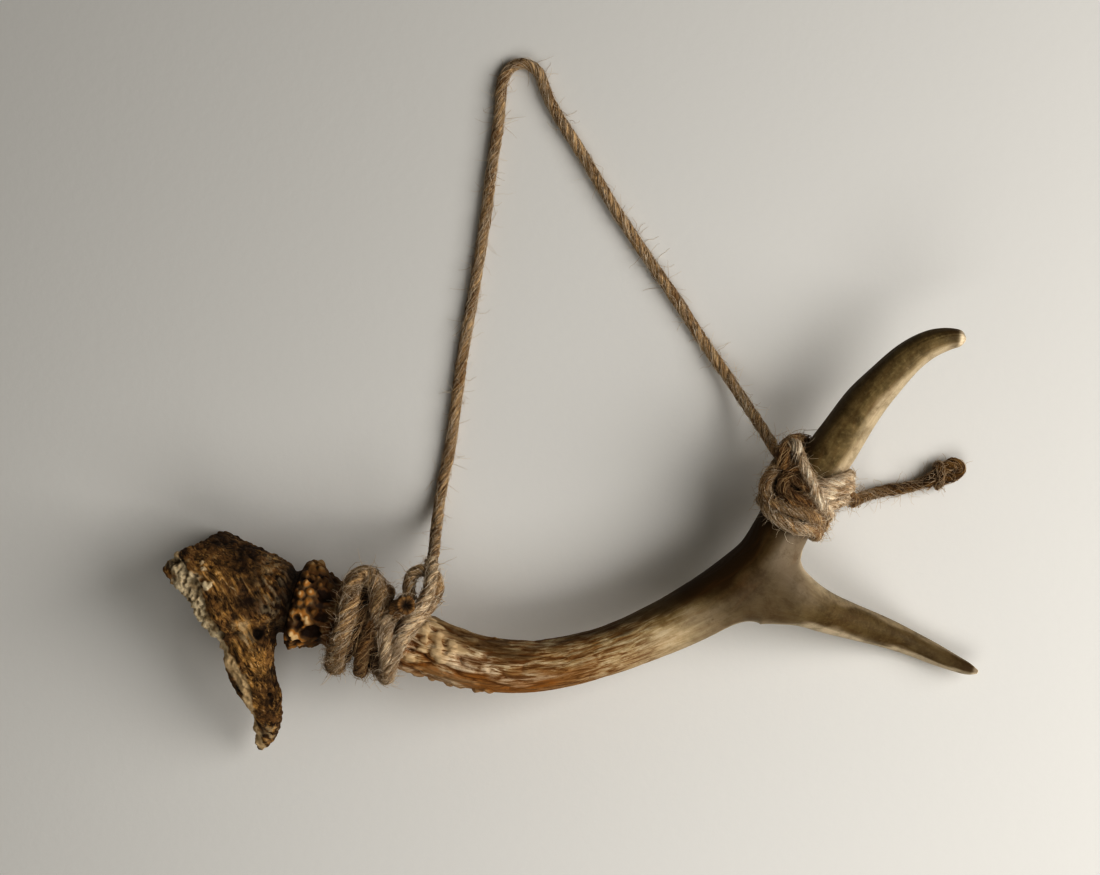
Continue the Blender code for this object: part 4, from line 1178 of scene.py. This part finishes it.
def build_burr_binding(jute, pale, brown, deep, fluff, dark_fluff):
    """The arched turn, the turns under it, the upright strand, its cut end, and the hitch with its ring."""
    # The turns under the arch are darker as painted shade: the middle one brown jute, the others darker
    # still.
    under = [
        lay_strand(f"burr_under_turn_{k + 1}", route, 4.8, brown if k == 1 else deep, 24 + 3 * k, 0.85)
        for k, route in enumerate(BURR_UNDER_TURNS)
    ]
    arch = lay_strand("arch_turn", ARCH_TURN, 6.6, jute, 21, 0.8, ["burr_binding"])
    upright = lay_strand("upright_strand", UPRIGHT_STRAND, 5.6, pale, 34, 0.9)
    hitch = lay_strand("hitch_strand", HITCH_STRAND, 4.8, pale, 31, 0.9)
    ring = lay_cord("hitch_ring", HITCH_RING, 4.3, jute, 33, 0.22, pitch=TIGHT_TWIST)
    wrap = lay_cord("ring_wrap", RING_WRAP, 4.5, pale, 36, 0.2, pitch=12.0)
    lead = lay_cord("ring_lead", RING_LEAD, TWINE, jute, 35, 0.13, (1.0, 0.0, 0.0))
    cut = evenly(CUT_END, 24)
    add_piece("cut_end", cut_stub("cut_end", cut, 6.5, 37), brown)
    stub = (cut[:-4], (1.0, 0.0, 0.0), 5.8)
    strands = [arch, upright, hitch, ring, wrap, lead, stub]
    fuzz_strands("burr_binding", strands, fluff, 140, 8.0, 3.6, 0.55)
    fuzz_strands("burr_under_turns", [*under, arch], dark_fluff, 240, 4.0, 2.5, 0.9)


def build_fork_binding(jute, bright, brown, fluff, dark_fluff):
    """The turns above the fork, the bend round their left side and the pale strand that crosses them."""
    # The turns under the others and the inner bend take brown jute as painted shade.
    under = [
        lay_strand(f"fork_under_turn_{k + 1}", route, 4.4, brown, 70 + 3 * k, 0.85)
        for k, route in enumerate(FORK_UNDER_TURNS)
    ]
    inner = lay_strand("inner_bend", INNER_BEND, 4.8, brown, 65, 0.85)
    bend = lay_strand("left_bend", LEFT_BEND, 4.8, jute, 51, 0.85, ["fork_binding"])
    low = lay_strand("low_strand", LOW_STRAND, 4.8, jute, 53, 0.85)
    # The slanted turns and the crossing strand take bright jute: paler strands, and partly painted light on
    # the side that faces the light.
    slants = [
        lay_strand(f"slanted_turn_{k + 1}", route, 4.6, bright, 55 + k, 0.85)
        for k, route in enumerate(SLANTED_TURNS)
    ]
    top = lay_strand("top_bend", TOP_BEND, 5.2, brown, 59, 0.9)
    crossing = lay_strand("crossing_strand", CROSSING_STRAND, 4.2, bright, 60, 0.9)
    lead = lay_cord("fork_lead", FORK_LEAD, TWINE, jute, 62, 0.13)
    tail = lay_cord("tail_lead", TAIL_LEAD, TWINE * 1.06, brown, 63, 0.2, pitch=TIGHT_TWIST)
    fuzz_strands("fork_binding", [bend, low, *slants, crossing, lead], fluff, 340, 7.5, 3.2, 0.5)
    fuzz_strands("fork_bends", [*under, inner, bend, top, tail], dark_fluff, 440, 5.5, 2.2, 0.8)


# --- The antler ---------------------------------------------------------------------------------------------


def caps(along, angle, places, reach, stretch=1.0):
    """The highest of many rounded caps at each point: height (1 - d^2 / radius^2)^0.9 for each cap."""
    highest = np.zeros_like(along)
    for place, degrees, radius, height in places:
        turn = np.angle(np.exp(1j * (angle - math.radians(degrees)))) * reach
        far = (((along - place) / stretch) ** 2 + turn**2) / radius**2
        highest = np.maximum(highest, height * np.clip(1 - far, 0.0, 1.0) ** 0.9)
    return highest


def burr_knobs():
    """The burr's knobs in rows round it, each a little off its even place: along, degrees, radius, height."""
    rng = np.random.default_rng(4)
    knobs = []
    for place, count, radius, height in BURR_ROWS:
        off = rng.uniform(0.0, 360.0)
        for k in range(count):
            along = place + rng.normal(0, 0.75)
            degrees = off + 360.0 * (k + rng.normal(0, 0.26)) / count
            size = rng.uniform(0.6, 1.5)
            knobs.append((along, degrees, radius * size, height * size * rng.uniform(0.35, 1.0)))
    return knobs


def small_pearls():
    """Small pearls scattered over the ridged beam, fewer towards its smooth end."""
    rng = np.random.default_rng(8)
    along = 16.0 + 66.0 * rng.random(70) ** 1.3
    degrees = rng.uniform(90.0, 400.0, 70)
    return [(a, d, rng.uniform(0.9, 1.6), rng.uniform(0.2, 0.55)) for a, d in zip(along, degrees)]


# How far the beam's and the burr's skin lies from the middle line where caps() measures round it, and the
# size of the low waves on the smooth bone, round it and along it.
BEAM_REACH, BURR_REACH, LONG_WAVES = 10.0, 14.5, (8.0, 8.0, 30.0)


def bone_relief(along, angle):
    """The main limb's relief: height in millimetres, and how proud a place is from -1 to 1.

    Grooves are where long thin noise comes near its middle value, so that they wander, join and part. The
    burr is a collar with rows of knobs on it, and pearls are caps on the ridges between the grooves.
    """
    place = straight(along, angle)
    warp = bumps(place, (9.0, 9.0, 20.0), 3)
    bent = place + np.stack([5.0 * warp, -5.0 * warp, 10.0 * warp], axis=-1)
    lumps = bumps(bent, (3.0, 3.0, 5.0), 12)
    ridge = np.clip(np.abs(bumps(bent, (3.9, 3.9, 17.0), 5)) * 4.2, 0.0, 1.0) ** 0.75
    thread = np.clip(np.abs(bumps(bent, (1.9, 1.9, 11.0), 9)) * 6.0, 0.0, 1.0) ** 0.8
    shifted = along + 1.5 * bumps(place, 2.3, 14)
    turned = angle + 0.17 * bumps(place, 2.3, 15)
    rough_end = 1 - fade(along, 50.0, 84.0)
    rugged = fade(along, 12.0, 17.0) * (0.07 + 0.33 * (1 - fade(along, 80.0, 135.0)) + 0.6 * rough_end)
    height = rugged * (1.7 * (ridge - 0.6) + 0.3 * (thread - 0.7) + 0.9 * lumps * rough_end)
    small = caps(shifted, turned, small_pearls(), BEAM_REACH, 1.2)
    pearls = np.maximum(small, caps(shifted, turned, PEARLS, BEAM_REACH))
    pits = 0.42 * caps(shifted, turned, BEAM_PITS, BEAM_REACH, 1.3)
    base = np.interp(along, *zip(*BURR_BASE))
    knobs = caps(along, angle, burr_knobs(), BURR_REACH) ** 0.8
    holes = caps(along, angle, BURR_PITS, BURR_REACH)
    on_burr = 1 - fade(along, 13.0, 16.5)
    lumpy = bumps(place, 1.7, 21)
    collar = base * (0.75 + 0.6 * layered_noise(place / 6.0, 23, 1))
    burr = collar + knobs * (1 + 0.4 * lumpy) - 0.4 - holes + 0.5 * lumpy
    height = height + pearls - pits + on_burr * burr
    waves = 0.5 * bumps(place, LONG_WAVES, 31)
    height = height + waves * fade(along, 16.0, 60.0)
    proud_burr = np.clip(0.95 * knobs + 1.0 * lumpy - 0.6 - 0.9 * holes, -1.0, 1.0)
    proud_beam = 1.7 * (ridge - 0.58) + 0.35 * (thread - 0.7) + 0.9 * lumps * rough_end
    proud_beam = rugged * np.clip(proud_beam, -1.0, 1.0)
    proud_beam = np.clip(proud_beam + 0.7 * pearls - 1.1 * pits, -1.0, 1.0)
    return height, on_burr * proud_burr + (1 - on_burr) * proud_beam


def sector(degrees, middle, half, soft):
    """1 within half of a middle angle and 0 beyond soft more, round the full turn."""
    away = np.abs((degrees - middle + 180.0) % 360.0 - 180.0)
    return 1 - fade(away, half, half + soft)


def stretch(along, starts, whole, stops, gone):
    """0 before a stretch of a limb starts and after it is gone, and 1 from where it is whole to its stop."""
    return fade(along, starts, whole) * (1 - fade(along, stops, gone))


def smooth_union(first, second, width):
    """The smaller of two depths, rounded where they are alike.

    It is the minimum - h^2 width / 4, where h = 1 - |first - second| / width.
    """
    near = np.clip(1 - np.abs(first - second) / width, 0.0, 1.0)
    return np.minimum(first, second) - near**2 * width / 4


# The fork's middle and how far round it the limbs are filleted, the fillet's width, how far out its surface
# is looked for and in how many halvings, and how far a limb's skin sinks past the seam.
FORK, FORK_REACH, FILLET = np.array([70.0, -14.0, 27.0]), 40.0, 5.5
FARTHEST_OUT, HALVINGS, SINK = 6.0, 12, 0.5


def filleted(points, outward, own, other):
    """Moves a limb's points near the fork outwards to the surface where the two limbs flow together.

    The way out is halved again and again on the rounded smaller of the two limbs' depths. Past the seam the
    surface sinks a little under the other limb's, so that only one of them shows on each side.
    """
    close = np.linalg.norm(points - FORK, axis=1) < FORK_REACH
    here, out = points[close], outward[close]
    low, high = np.zeros(len(here)), np.full(len(here), FARTHEST_OUT)
    for _ in range(HALVINGS):
        middle = (low + high) / 2
        moved = here + out * middle[:, None]
        inside = smooth_union(own.depth(moved), other.depth(moved), FILLET) < 0
        low, high = np.where(inside, middle, low), np.where(inside, high, middle)
    moved = here + out * low[:, None]
    sink = SINK * fade(own.depth(moved) - other.depth(moved), 0.0, 3.0)
    points = points.copy()
    points[close] = moved - out * sink[:, None]
    return points


def limb_piece(name, limb, along, sides, relief, look, other=None):
    """A limb as a grid of rings: its oval section with the relief added, filleted into the other limb."""
    place, angle = np.meshgrid(along, full_turn(sides), indexing="ij")
    place, angle = place.ravel(), angle.ravel()
    height, proud = relief(place, angle)
    _, _, across, over, _ = limb.read(place)
    points = limb.surface(place, angle)
    outward = unit(across * np.cos(angle)[:, None] + over * np.sin(angle)[:, None])
    if other is not None:
        points = filleted(points, outward, limb, other)
    points = points + outward * height[:, None]
    first, last = along[0], along[-1]
    ends = [limb.read(first)[0][0], limb.read(last)[0][0]]
    if last >= limb.length - 0.01:
        ends[1] = ends[1] + limb.read(last)[1][0] * 0.25
    mesh = mesh_of(name, np.vstack([points, ends]), *ring_faces(len(along), sides))
    write_attribute(mesh, "grain", np.vstack([straight(place, angle), [[0, 0, first], [0, 0, last]]]))
    write_attribute(mesh, "relief", np.concatenate([proud, np.zeros(2)]))
    tint, wear_and_painted_light = look(place, angle)
    write_attribute(mesh, "tint", np.vstack([tint, tint[:1], tint[-1:]]))
    write_attribute(mesh, "wear_and_painted_light", np.vstack([wear_and_painted_light, wear_and_painted_light[:1], wear_and_painted_light[-1:]]))
    return mesh


def main_look(along, angle):
    """The main limb's colour shares: how cream, rusty and dark it is, and how streaked, golden and olive.

    Each is a share of a sector round the limb, within a stretch along it, broken up by noise. The dark on the
    upper side and on the fork's front is painted shade, the cream on the lower sides is partly painted light,
    and the burr's gold is painted light where it faces the light.
    """
    place = straight(along, angle)
    drift = bumps(place, (7.0, 7.0, 16.0), 61, 3)
    patch = layered_noise(place / np.array([4.0, 4.0, 12.0]), 65, 3)
    degrees = np.degrees(angle) + (70.0 - 45.0 * fade(along, 150.0, 200.0)) * drift
    ridged = stretch(along, 14.0, 18.0, 78.0, 118.0)
    upper = sector(degrees, 3.0, 37.0, 32.0)
    lower = sector(degrees, 165.0, 48.0, 30.0)
    front = sector(degrees, 88.0, 40.0, 30.0)
    fork = stretch(along, 136.0, 168.0, 196.0, 214.0) * sector(degrees, 82.0, 72.0, 34.0)
    on_burr = 1 - fade(along, 12.0, 15.0)
    cream = ridged * (0.48 * front * fade(patch, 0.35, 0.6) + 0.3 * fade(patch, 0.5, 0.7))
    # The first three stretches lie on the lower sides, which face the light: paler bone, and partly painted
    # light.
    for share, starts, whole, stops, gone, middle, half, soft in CREAM_STRETCHES:
        there = stretch(along, starts, whole, stops, gone) * sector(degrees, middle, half, soft)
        cream = cream + share * there
    rust = ridged * (0.9 * lower + 0.35 * fade(patch, 0.55, 0.4))
    rust = rust + 0.25 * (1 - fade(along, 100.0, 165.0)) * lower
    # Dark on the upper side, which faces away from the light, is painted shade, mixed in the ridged stretch
    # with dark patches of the bone; the dark on the fork's front is painted shade too.
    dark = 0.62 * ridged * upper * fade(patch, 0.66, 0.4) + 0.76 * fork
    dark = dark + 0.72 * upper * fade(along, 80.0, 120.0) * (1 - 0.35 * fade(along, 140.0, 170.0))
    dark = dark + 0.45 * stretch(along, 284.0, 289.0, 289.6, 291.2) * sector(degrees, 60.0, 80.0, 50.0)
    # The burr is golden and less dark where it faces the light: painted light over its own gold.
    lit = sector(degrees, 95.0, 48.0, 30.0) * (1 - fade(along, 6.5, 9.5))
    golden = on_burr * np.clip(0.3 + 0.75 * lit, 0.0, 1.0)
    dark = np.where(on_burr > 0, (1 - on_burr) * dark + on_burr * (0.92 - 0.2 * lit), dark)
    streaked = (1 - fade(along, 96.0, 160.0)) * (1 - on_burr) + SMOOTH_STREAKS
    olive = fade(along + 26.0 * (patch - 0.5), 120.0, 172.0) * (1 - 0.3 * sector(degrees, 165.0, 30.0, 40.0))
    tint = np.stack([cream * (1 - on_burr), rust * (1 - on_burr), dark], axis=-1)
    return np.clip(tint, 0.0, 1.0), np.clip(np.stack([streaked, golden, olive], axis=-1), 0.0, 1.0)


def tine_look(along, angle):
    """The same for the lower tine: at the fork as the main limb is there, and its own 20 mm further on."""
    tine, limb = Limb(LOWER_TINE), Limb(MAIN_LIMB)
    points = tine.surface(along, angle)
    shared = main_look(*limb.nearest(points))
    place = straight(along, angle)
    degrees = np.degrees(angle) + 60.0 * bumps(place, (7.0, 7.0, 16.0), 71, 3)
    from_tip = tine.length - along
    # The pale lower edge faces the light and is partly painted light, the dark front is painted shade, and
    # the tip is ivory.
    cream = 0.6 * sector(degrees, 180.0, 24.0, 34.0) + 0.2 * sector(degrees, 0.0, 24.0, 30.0)
    cream = cream + 0.8 * fade(from_tip, 2.4, 0.8)
    dark = 0.5 * sector(degrees, 84.0, 40.0, 36.0)
    dark = dark + 0.3 * fade(from_tip, 8.0, 4.0) * (1 - fade(from_tip, 2.4, 1.0))
    none = 0 * along
    own = (np.stack([cream, none, dark], axis=-1), np.stack([SMOOTH_STREAKS + none, none, 1 + none], axis=-1))
    share = fade(limb.depth(points), 1.0, 20.0)[:, None]
    tint, wear_and_painted_light = (near * (1 - share) + far * share for near, far in zip(shared, own))
    return np.clip(tint, 0.0, 1.0), np.clip(wear_and_painted_light, 0.0, 1.0)


def tine_relief(along, angle):
    """The lower tine's relief: only long low waves."""
    place = straight(along, angle)
    waves = bumps(place, LONG_WAVES, 41)
    return 0.5 * waves * fade(along, 30.0, 50.0), 0.1 * waves


def rows_to_tip(limb, start, count):
    """Places along a limb from a start to its tip, closer together at the tip."""
    last = limb.length - np.array([2.2, 1.8, 1.4, 1.0, 0.7, 0.45, 0.25, 0.1, 0.0])
    return np.concatenate([np.linspace(start, limb.length - 2.6, count), last])


def build_antler(bone):
    """The burr, the beam with the upper tine, and the lower tine."""
    limb, tine = Limb(MAIN_LIMB), Limb(LOWER_TINE)
    piece = limb_piece("burr", limb, np.linspace(0.1, 30.0, 90), 250, bone_relief, main_look)
    add_piece("burr", piece, bone)
    along = np.concatenate([np.linspace(30.0, 112.0, 240), rows_to_tip(limb, 112.5, 260)])
    piece = limb_piece("beam_and_upper_tine", limb, along, 176, bone_relief, main_look, tine)
    add_piece("beam_and_upper_tine", piece, bone, ["beam", "upper_tine"])
    along = rows_to_tip(tine, 0.0, 190)
    piece = limb_piece("lower_tine_bone", tine, along, 120, tine_relief, tine_look, limb)
    add_piece("lower_tine_bone", piece, bone, ["lower_tine"])


def skull_grid(sides, steps, hollow_steps):
    """The pedicle's flare out to the broken rim, over it and into the hollow, as a grid of rings.

    Each ring is the pedicle's end + out (reach t) + across (neck + (rim - neck) t^p), likewise upwards, for t
    from 0 to 1, where reach and rim come from the rim's rows by degrees.
    """
    limb = Limb(MAIN_LIMB)
    middle, forward, across, over, _ = limb.read([0.0])
    foot, out, across, up = middle[0], -forward[0], across[0], over[0]
    degrees = np.arange(sides) * 360.0 / sides
    angle = np.radians(degrees)
    rim = np.array(SKULL_RIM)
    rows = np.stack([np.interp(degrees, rim[:, 0], rim[:, k], period=360.0) for k in range(1, 7)])
    kernel = np.hanning(round(sides / 20) | 1)
    kernel /= kernel.sum()
    half = len(kernel) // 2
    rows = np.stack([np.convolve(np.concatenate([r[-half:], r, r[:half]]), kernel, "valid") for r in rows])
    reach, side, height = rows[0], rows[1], rows[2] - foot[2]
    inner_reach, inner_side, inner_height = rows[3], rows[4], rows[5] - foot[2]
    neck_side, neck_height = NECK_RADIUS * np.cos(angle), NECK_RADIUS * np.sin(angle)

    def ring(along, wide, high):
        return foot + np.outer(along, out) + np.outer(wide, across) + np.outer(high, up)

    rings = []
    groove_at, groove_width, groove_depth = NECK_GROOVE
    for share in np.linspace(0.0, 1.0, steps):
        width = share**FLARE_POWER
        along = reach * share
        dip = groove_depth * np.exp(-(((along - groove_at) / groove_width) ** 2))
        wide = neck_side + (side - neck_side) * width - dip * np.cos(angle)
        high = neck_height + (height - neck_height) * width - dip * np.sin(angle)
        rings.append(ring(along, wide, high))
    over_rim = ((reach, inner_reach), (side, inner_side), (height, inner_height))
    for share in (0.33, 0.66, 1.0):
        rings.append(ring(*[outer + (inner - outer) * share for outer, inner in over_rim]))
    for share in np.linspace(0.0, 1.0, hollow_steps)[1:-1]:
        left = 1 - share
        rings.append(ring(inner_reach * left + HOLLOW_FLOOR * share, inner_side * left, inner_height * left))
    return np.array(rings), foot, foot + out * HOLLOW_FLOOR


def voxel_mesh(name, parts, size):
    """One closed skin round overlapping closed meshes, with faces of an even size."""
    joined = bpy.data.objects.new(name, parts)
    bpy.context.scene.collection.objects.link(joined)
    change = joined.modifiers.new("skin", "REMESH")
    change.mode = "VOXEL"
    change.voxel_size = size * MM
    bpy.context.view_layer.update()
    mesh = bpy.data.meshes.new_from_object(joined.evaluated_get(bpy.context.evaluated_depsgraph_get()))
    bpy.data.objects.remove(joined, do_unlink=True)
    mesh.shade_smooth()
    return mesh


def eased(points, edges, weight, times):
    """Draws each point towards the mean of its neighbours by a weight, several times over."""
    count = np.bincount(edges.ravel(), minlength=len(points))[:, None]
    for _ in range(times):
        total = np.stack([
            np.bincount(edges[:, 0], points[edges[:, 1], k], len(points))
            + np.bincount(edges[:, 1], points[edges[:, 0], k], len(points))
            for k in range(3)
        ], axis=1)
        points = points + (total / np.maximum(count, 1) - points) * weight[:, None]
    return points


def along_break(points):
    """How near points lie to the broken edge in the plan view: 1 on its band, soft at its sides."""
    line = evenly(BREAK_LINE, 160)
    far = np.hypot(points[:, None, 0] - line[None, :, 0], points[:, None, 1] - line[None, :, 1])
    near = np.argmin(far, axis=1)
    ragged = 0.5 + layered_noise(points / 2.4, 81, 2)
    return 1 - fade(far[np.arange(len(points)), near] / (line[near, 2] * ragged), 0.65, 1.15)


def spots(points, places):
    """The strongest of many soft spots at each point: strength exp(-(d / radius)^2) in the plan view."""
    strongest = np.zeros(len(points))
    for x, y, radius, strength in places:
        far = ((points[:, 0] - x) ** 2 + (points[:, 1] - y) ** 2) / radius**2
        strongest = np.maximum(strongest, strength * np.exp(-far))
    return strongest


def skull_skin(spur_sides=40):
    """One skin round the pedicle's flare and the spur, eased where they meet, and the pedicle's end."""
    rings, foot, hollow = skull_grid(200, 56, 26)
    spur = Limb(SPUR)
    along = spur.length * np.linspace(0.0, 1.0, 60) ** 0.9
    place, angle = np.meshgrid(along, full_turn(spur_sides), indexing="ij")
    points = spur.surface(place.ravel(), angle.ravel())
    flare = np.vstack([rings.reshape(-1, 3), foot, hollow])
    quads, fans = ring_faces(rings.shape[0], rings.shape[1])
    more_quads, more_fans = ring_faces(len(along), spur_sides)
    parts = mesh_of(
        "skull_parts",
        np.vstack([flare, points, spur.read([0.0])[0], spur.read([spur.length])[0]]),
        np.vstack([quads[:, ::-1], more_quads + len(flare)]),
        np.vstack([fans[:, ::-1], more_fans + len(flare)]),
    )
    mesh = voxel_mesh("skull", parts, 0.5)
    points = read_rows(mesh.vertices, "co", 3).astype(float) / MM + np.array(CENTRE)
    root = spur.read(np.linspace(3.0, 16.0, 14))[0]
    far = np.sqrt(((points[:, None] - root[None]) ** 2).sum(axis=2)).min(axis=1)
    weight = 0.1 + 0.4 * (1 - fade(far, 10.0, 17.0))
    points = eased(points, read_rows(mesh.edges, "vertices", 2, np.int32), weight, 26)
    move_points(mesh, points)
    return mesh, points, foot


def build_skull(bone):
    """The skull fragment: its skin, then streaks, lumps, pores and holes as heights along its normals.

    The band along the break is cream with pores and chunks, and soft spots of cream, gold and dark lie on the
    rest of it. Painted shade darkens the pedicle's neck under the burr.
    """
    mesh, points, foot = skull_skin()
    normals = read_rows(mesh.vertex_normals, "vector", 3).astype(float)
    down, beside = np.array([0.5, -0.86, 0.0]), np.array([0.86, 0.5, 0.0])
    grain = np.stack([points @ beside, points @ down, points[:, 2]], axis=1)
    streaks = bumps(grain, (1.7, 13.0, 1.7), 51, 3)
    lumps = bumps(points, 9.0, 52)
    rough = bumps(points, 1.5, 53)
    seen = fade(normals[:, 2], -0.1, 0.5)
    band = along_break(points)
    speckle = fade(layered_noise(grain / np.array([1.1, 3.4, 1.1]), 85, 2), 0.42, 0.6)
    chips = fade(spots(points, CHIPS) + 0.5 * bumps(points, 1.3, 87), 0.45, 0.6)
    cream = np.maximum(spots(points, CREAM_SPOTS) * speckle * (0.25 + 0.75 * seen), np.maximum(band, chips))
    sponge = layered_noise(points / 1.0, 57, 1)
    open_break = fade(band, 0.3, 0.8) * (1 - fade(points[:, 1], -31.0, -37.0))
    pores = np.clip((0.38 - sponge) * 6.0, 0.0, 1.0) * np.maximum(open_break, 0.2 * band)
    chunks = bumps(points, 3.4, 59, 3) * band
    holes = np.zeros(len(points))
    for x, y, radius, depth in SKULL_HOLES:
        far = np.hypot(points[:, 0] - x, points[:, 1] - y) / radius
        holes = np.maximum(holes, depth * (1 - fade(far, 0.55, 1.15)))
    holes = holes * fade(normals[:, 2], 0.1, 0.4)
    fibrous = spots(points, FIBROUS_SPOTS) * bumps(grain, (0.9, 3.5, 0.9), 83)
    height = 1.1 * streaks + 0.9 * lumps + 0.8 * rough + 2.0 * fibrous - 0.9 * pores
    height = height + 1.9 * chunks + 0.6 * chips - holes
    neck = np.linalg.norm(points - foot, axis=1)
    height = height * fade(points[:, 2], 0.0, 1.5) * fade(neck, 10.0, 17.0)
    points = points + normals * height[:, None]
    points[:, 2] = np.maximum(points[:, 2], 0.0)
    move_points(mesh, points)
    relief = 1.3 * streaks + 0.6 * rough + 1.4 * fibrous - 1.0 * pores - 0.9 * holes
    # Painted shade in the groove round the pedicle, under the burr.
    neck_shade = 0.8 * (1 - fade(neck, 12.5, 17.5))
    dark = np.maximum(spots(points, DARK_SPOTS), neck_shade) * (1 - band)
    tint = np.stack([cream, spots(points, GOLD_SPOTS), dark], axis=1)
    write_attribute(mesh, "grain", grain)
    write_attribute(mesh, "relief", np.clip(relief, -1.0, 1.0))
    write_attribute(mesh, "tint", np.clip(tint, 0.0, 1.0))
    add_piece("skull", mesh, bone, ["skull_fragment"])


def main():
    """Builds the picture's surroundings, the twine and the antler."""
    build_camera()
    build_floor()
    build_light()
    jute = jute_finish("jute", (0.92, 0.7, 0.43), (0.58, 0.385, 0.195), (0.17, 0.085, 0.03))
    pale = jute_finish("pale_jute", (1.0, 0.86, 0.64), (0.76, 0.57, 0.36), (0.28, 0.165, 0.075))
    # A darker jute: real brown on the top bend, the tail's lead and the cut end, painted shade on the under
    # turns and the inner bend.
    brown = jute_finish("brown_jute", (0.5, 0.31, 0.14), (0.23, 0.125, 0.045), (0.075, 0.034, 0.011))
    # Darker still, as painted shade on the burr's under turns.
    deep = jute_finish("shaded_jute", (0.17, 0.095, 0.035), (0.07, 0.036, 0.012), (0.02, 0.009, 0.003))
    tail_jute = jute_finish("golden_jute", (0.36, 0.205, 0.06), (0.14, 0.072, 0.019), (0.035, 0.014, 0.004))
    fluff = fibre_finish("jute_fibre", (0.4, 0.26, 0.13), (1.0, 0.9, 0.74))
    # Near-white jute: paler strands, and partly painted light on the fork's slanted turns and crossing
    # strand.
    bright = jute_finish("bright_jute", (1.0, 0.95, 0.82), (0.95, 0.79, 0.56), (0.42, 0.27, 0.14))
    # Darker fibres for the fuzz of the under turns and bends: brown jute, and partly painted shade.
    dark_fluff = fibre_finish("brown_fibre", (0.2, 0.105, 0.04), (0.7, 0.52, 0.31))
    build_free_twine(jute, tail_jute, fluff)
    build_burr_binding(jute, pale, brown, deep, fluff, dark_fluff)
    build_fork_binding(jute, bright, brown, fluff, dark_fluff)
    build_antler(antler_finish())
    build_skull(skull_finish())


main()
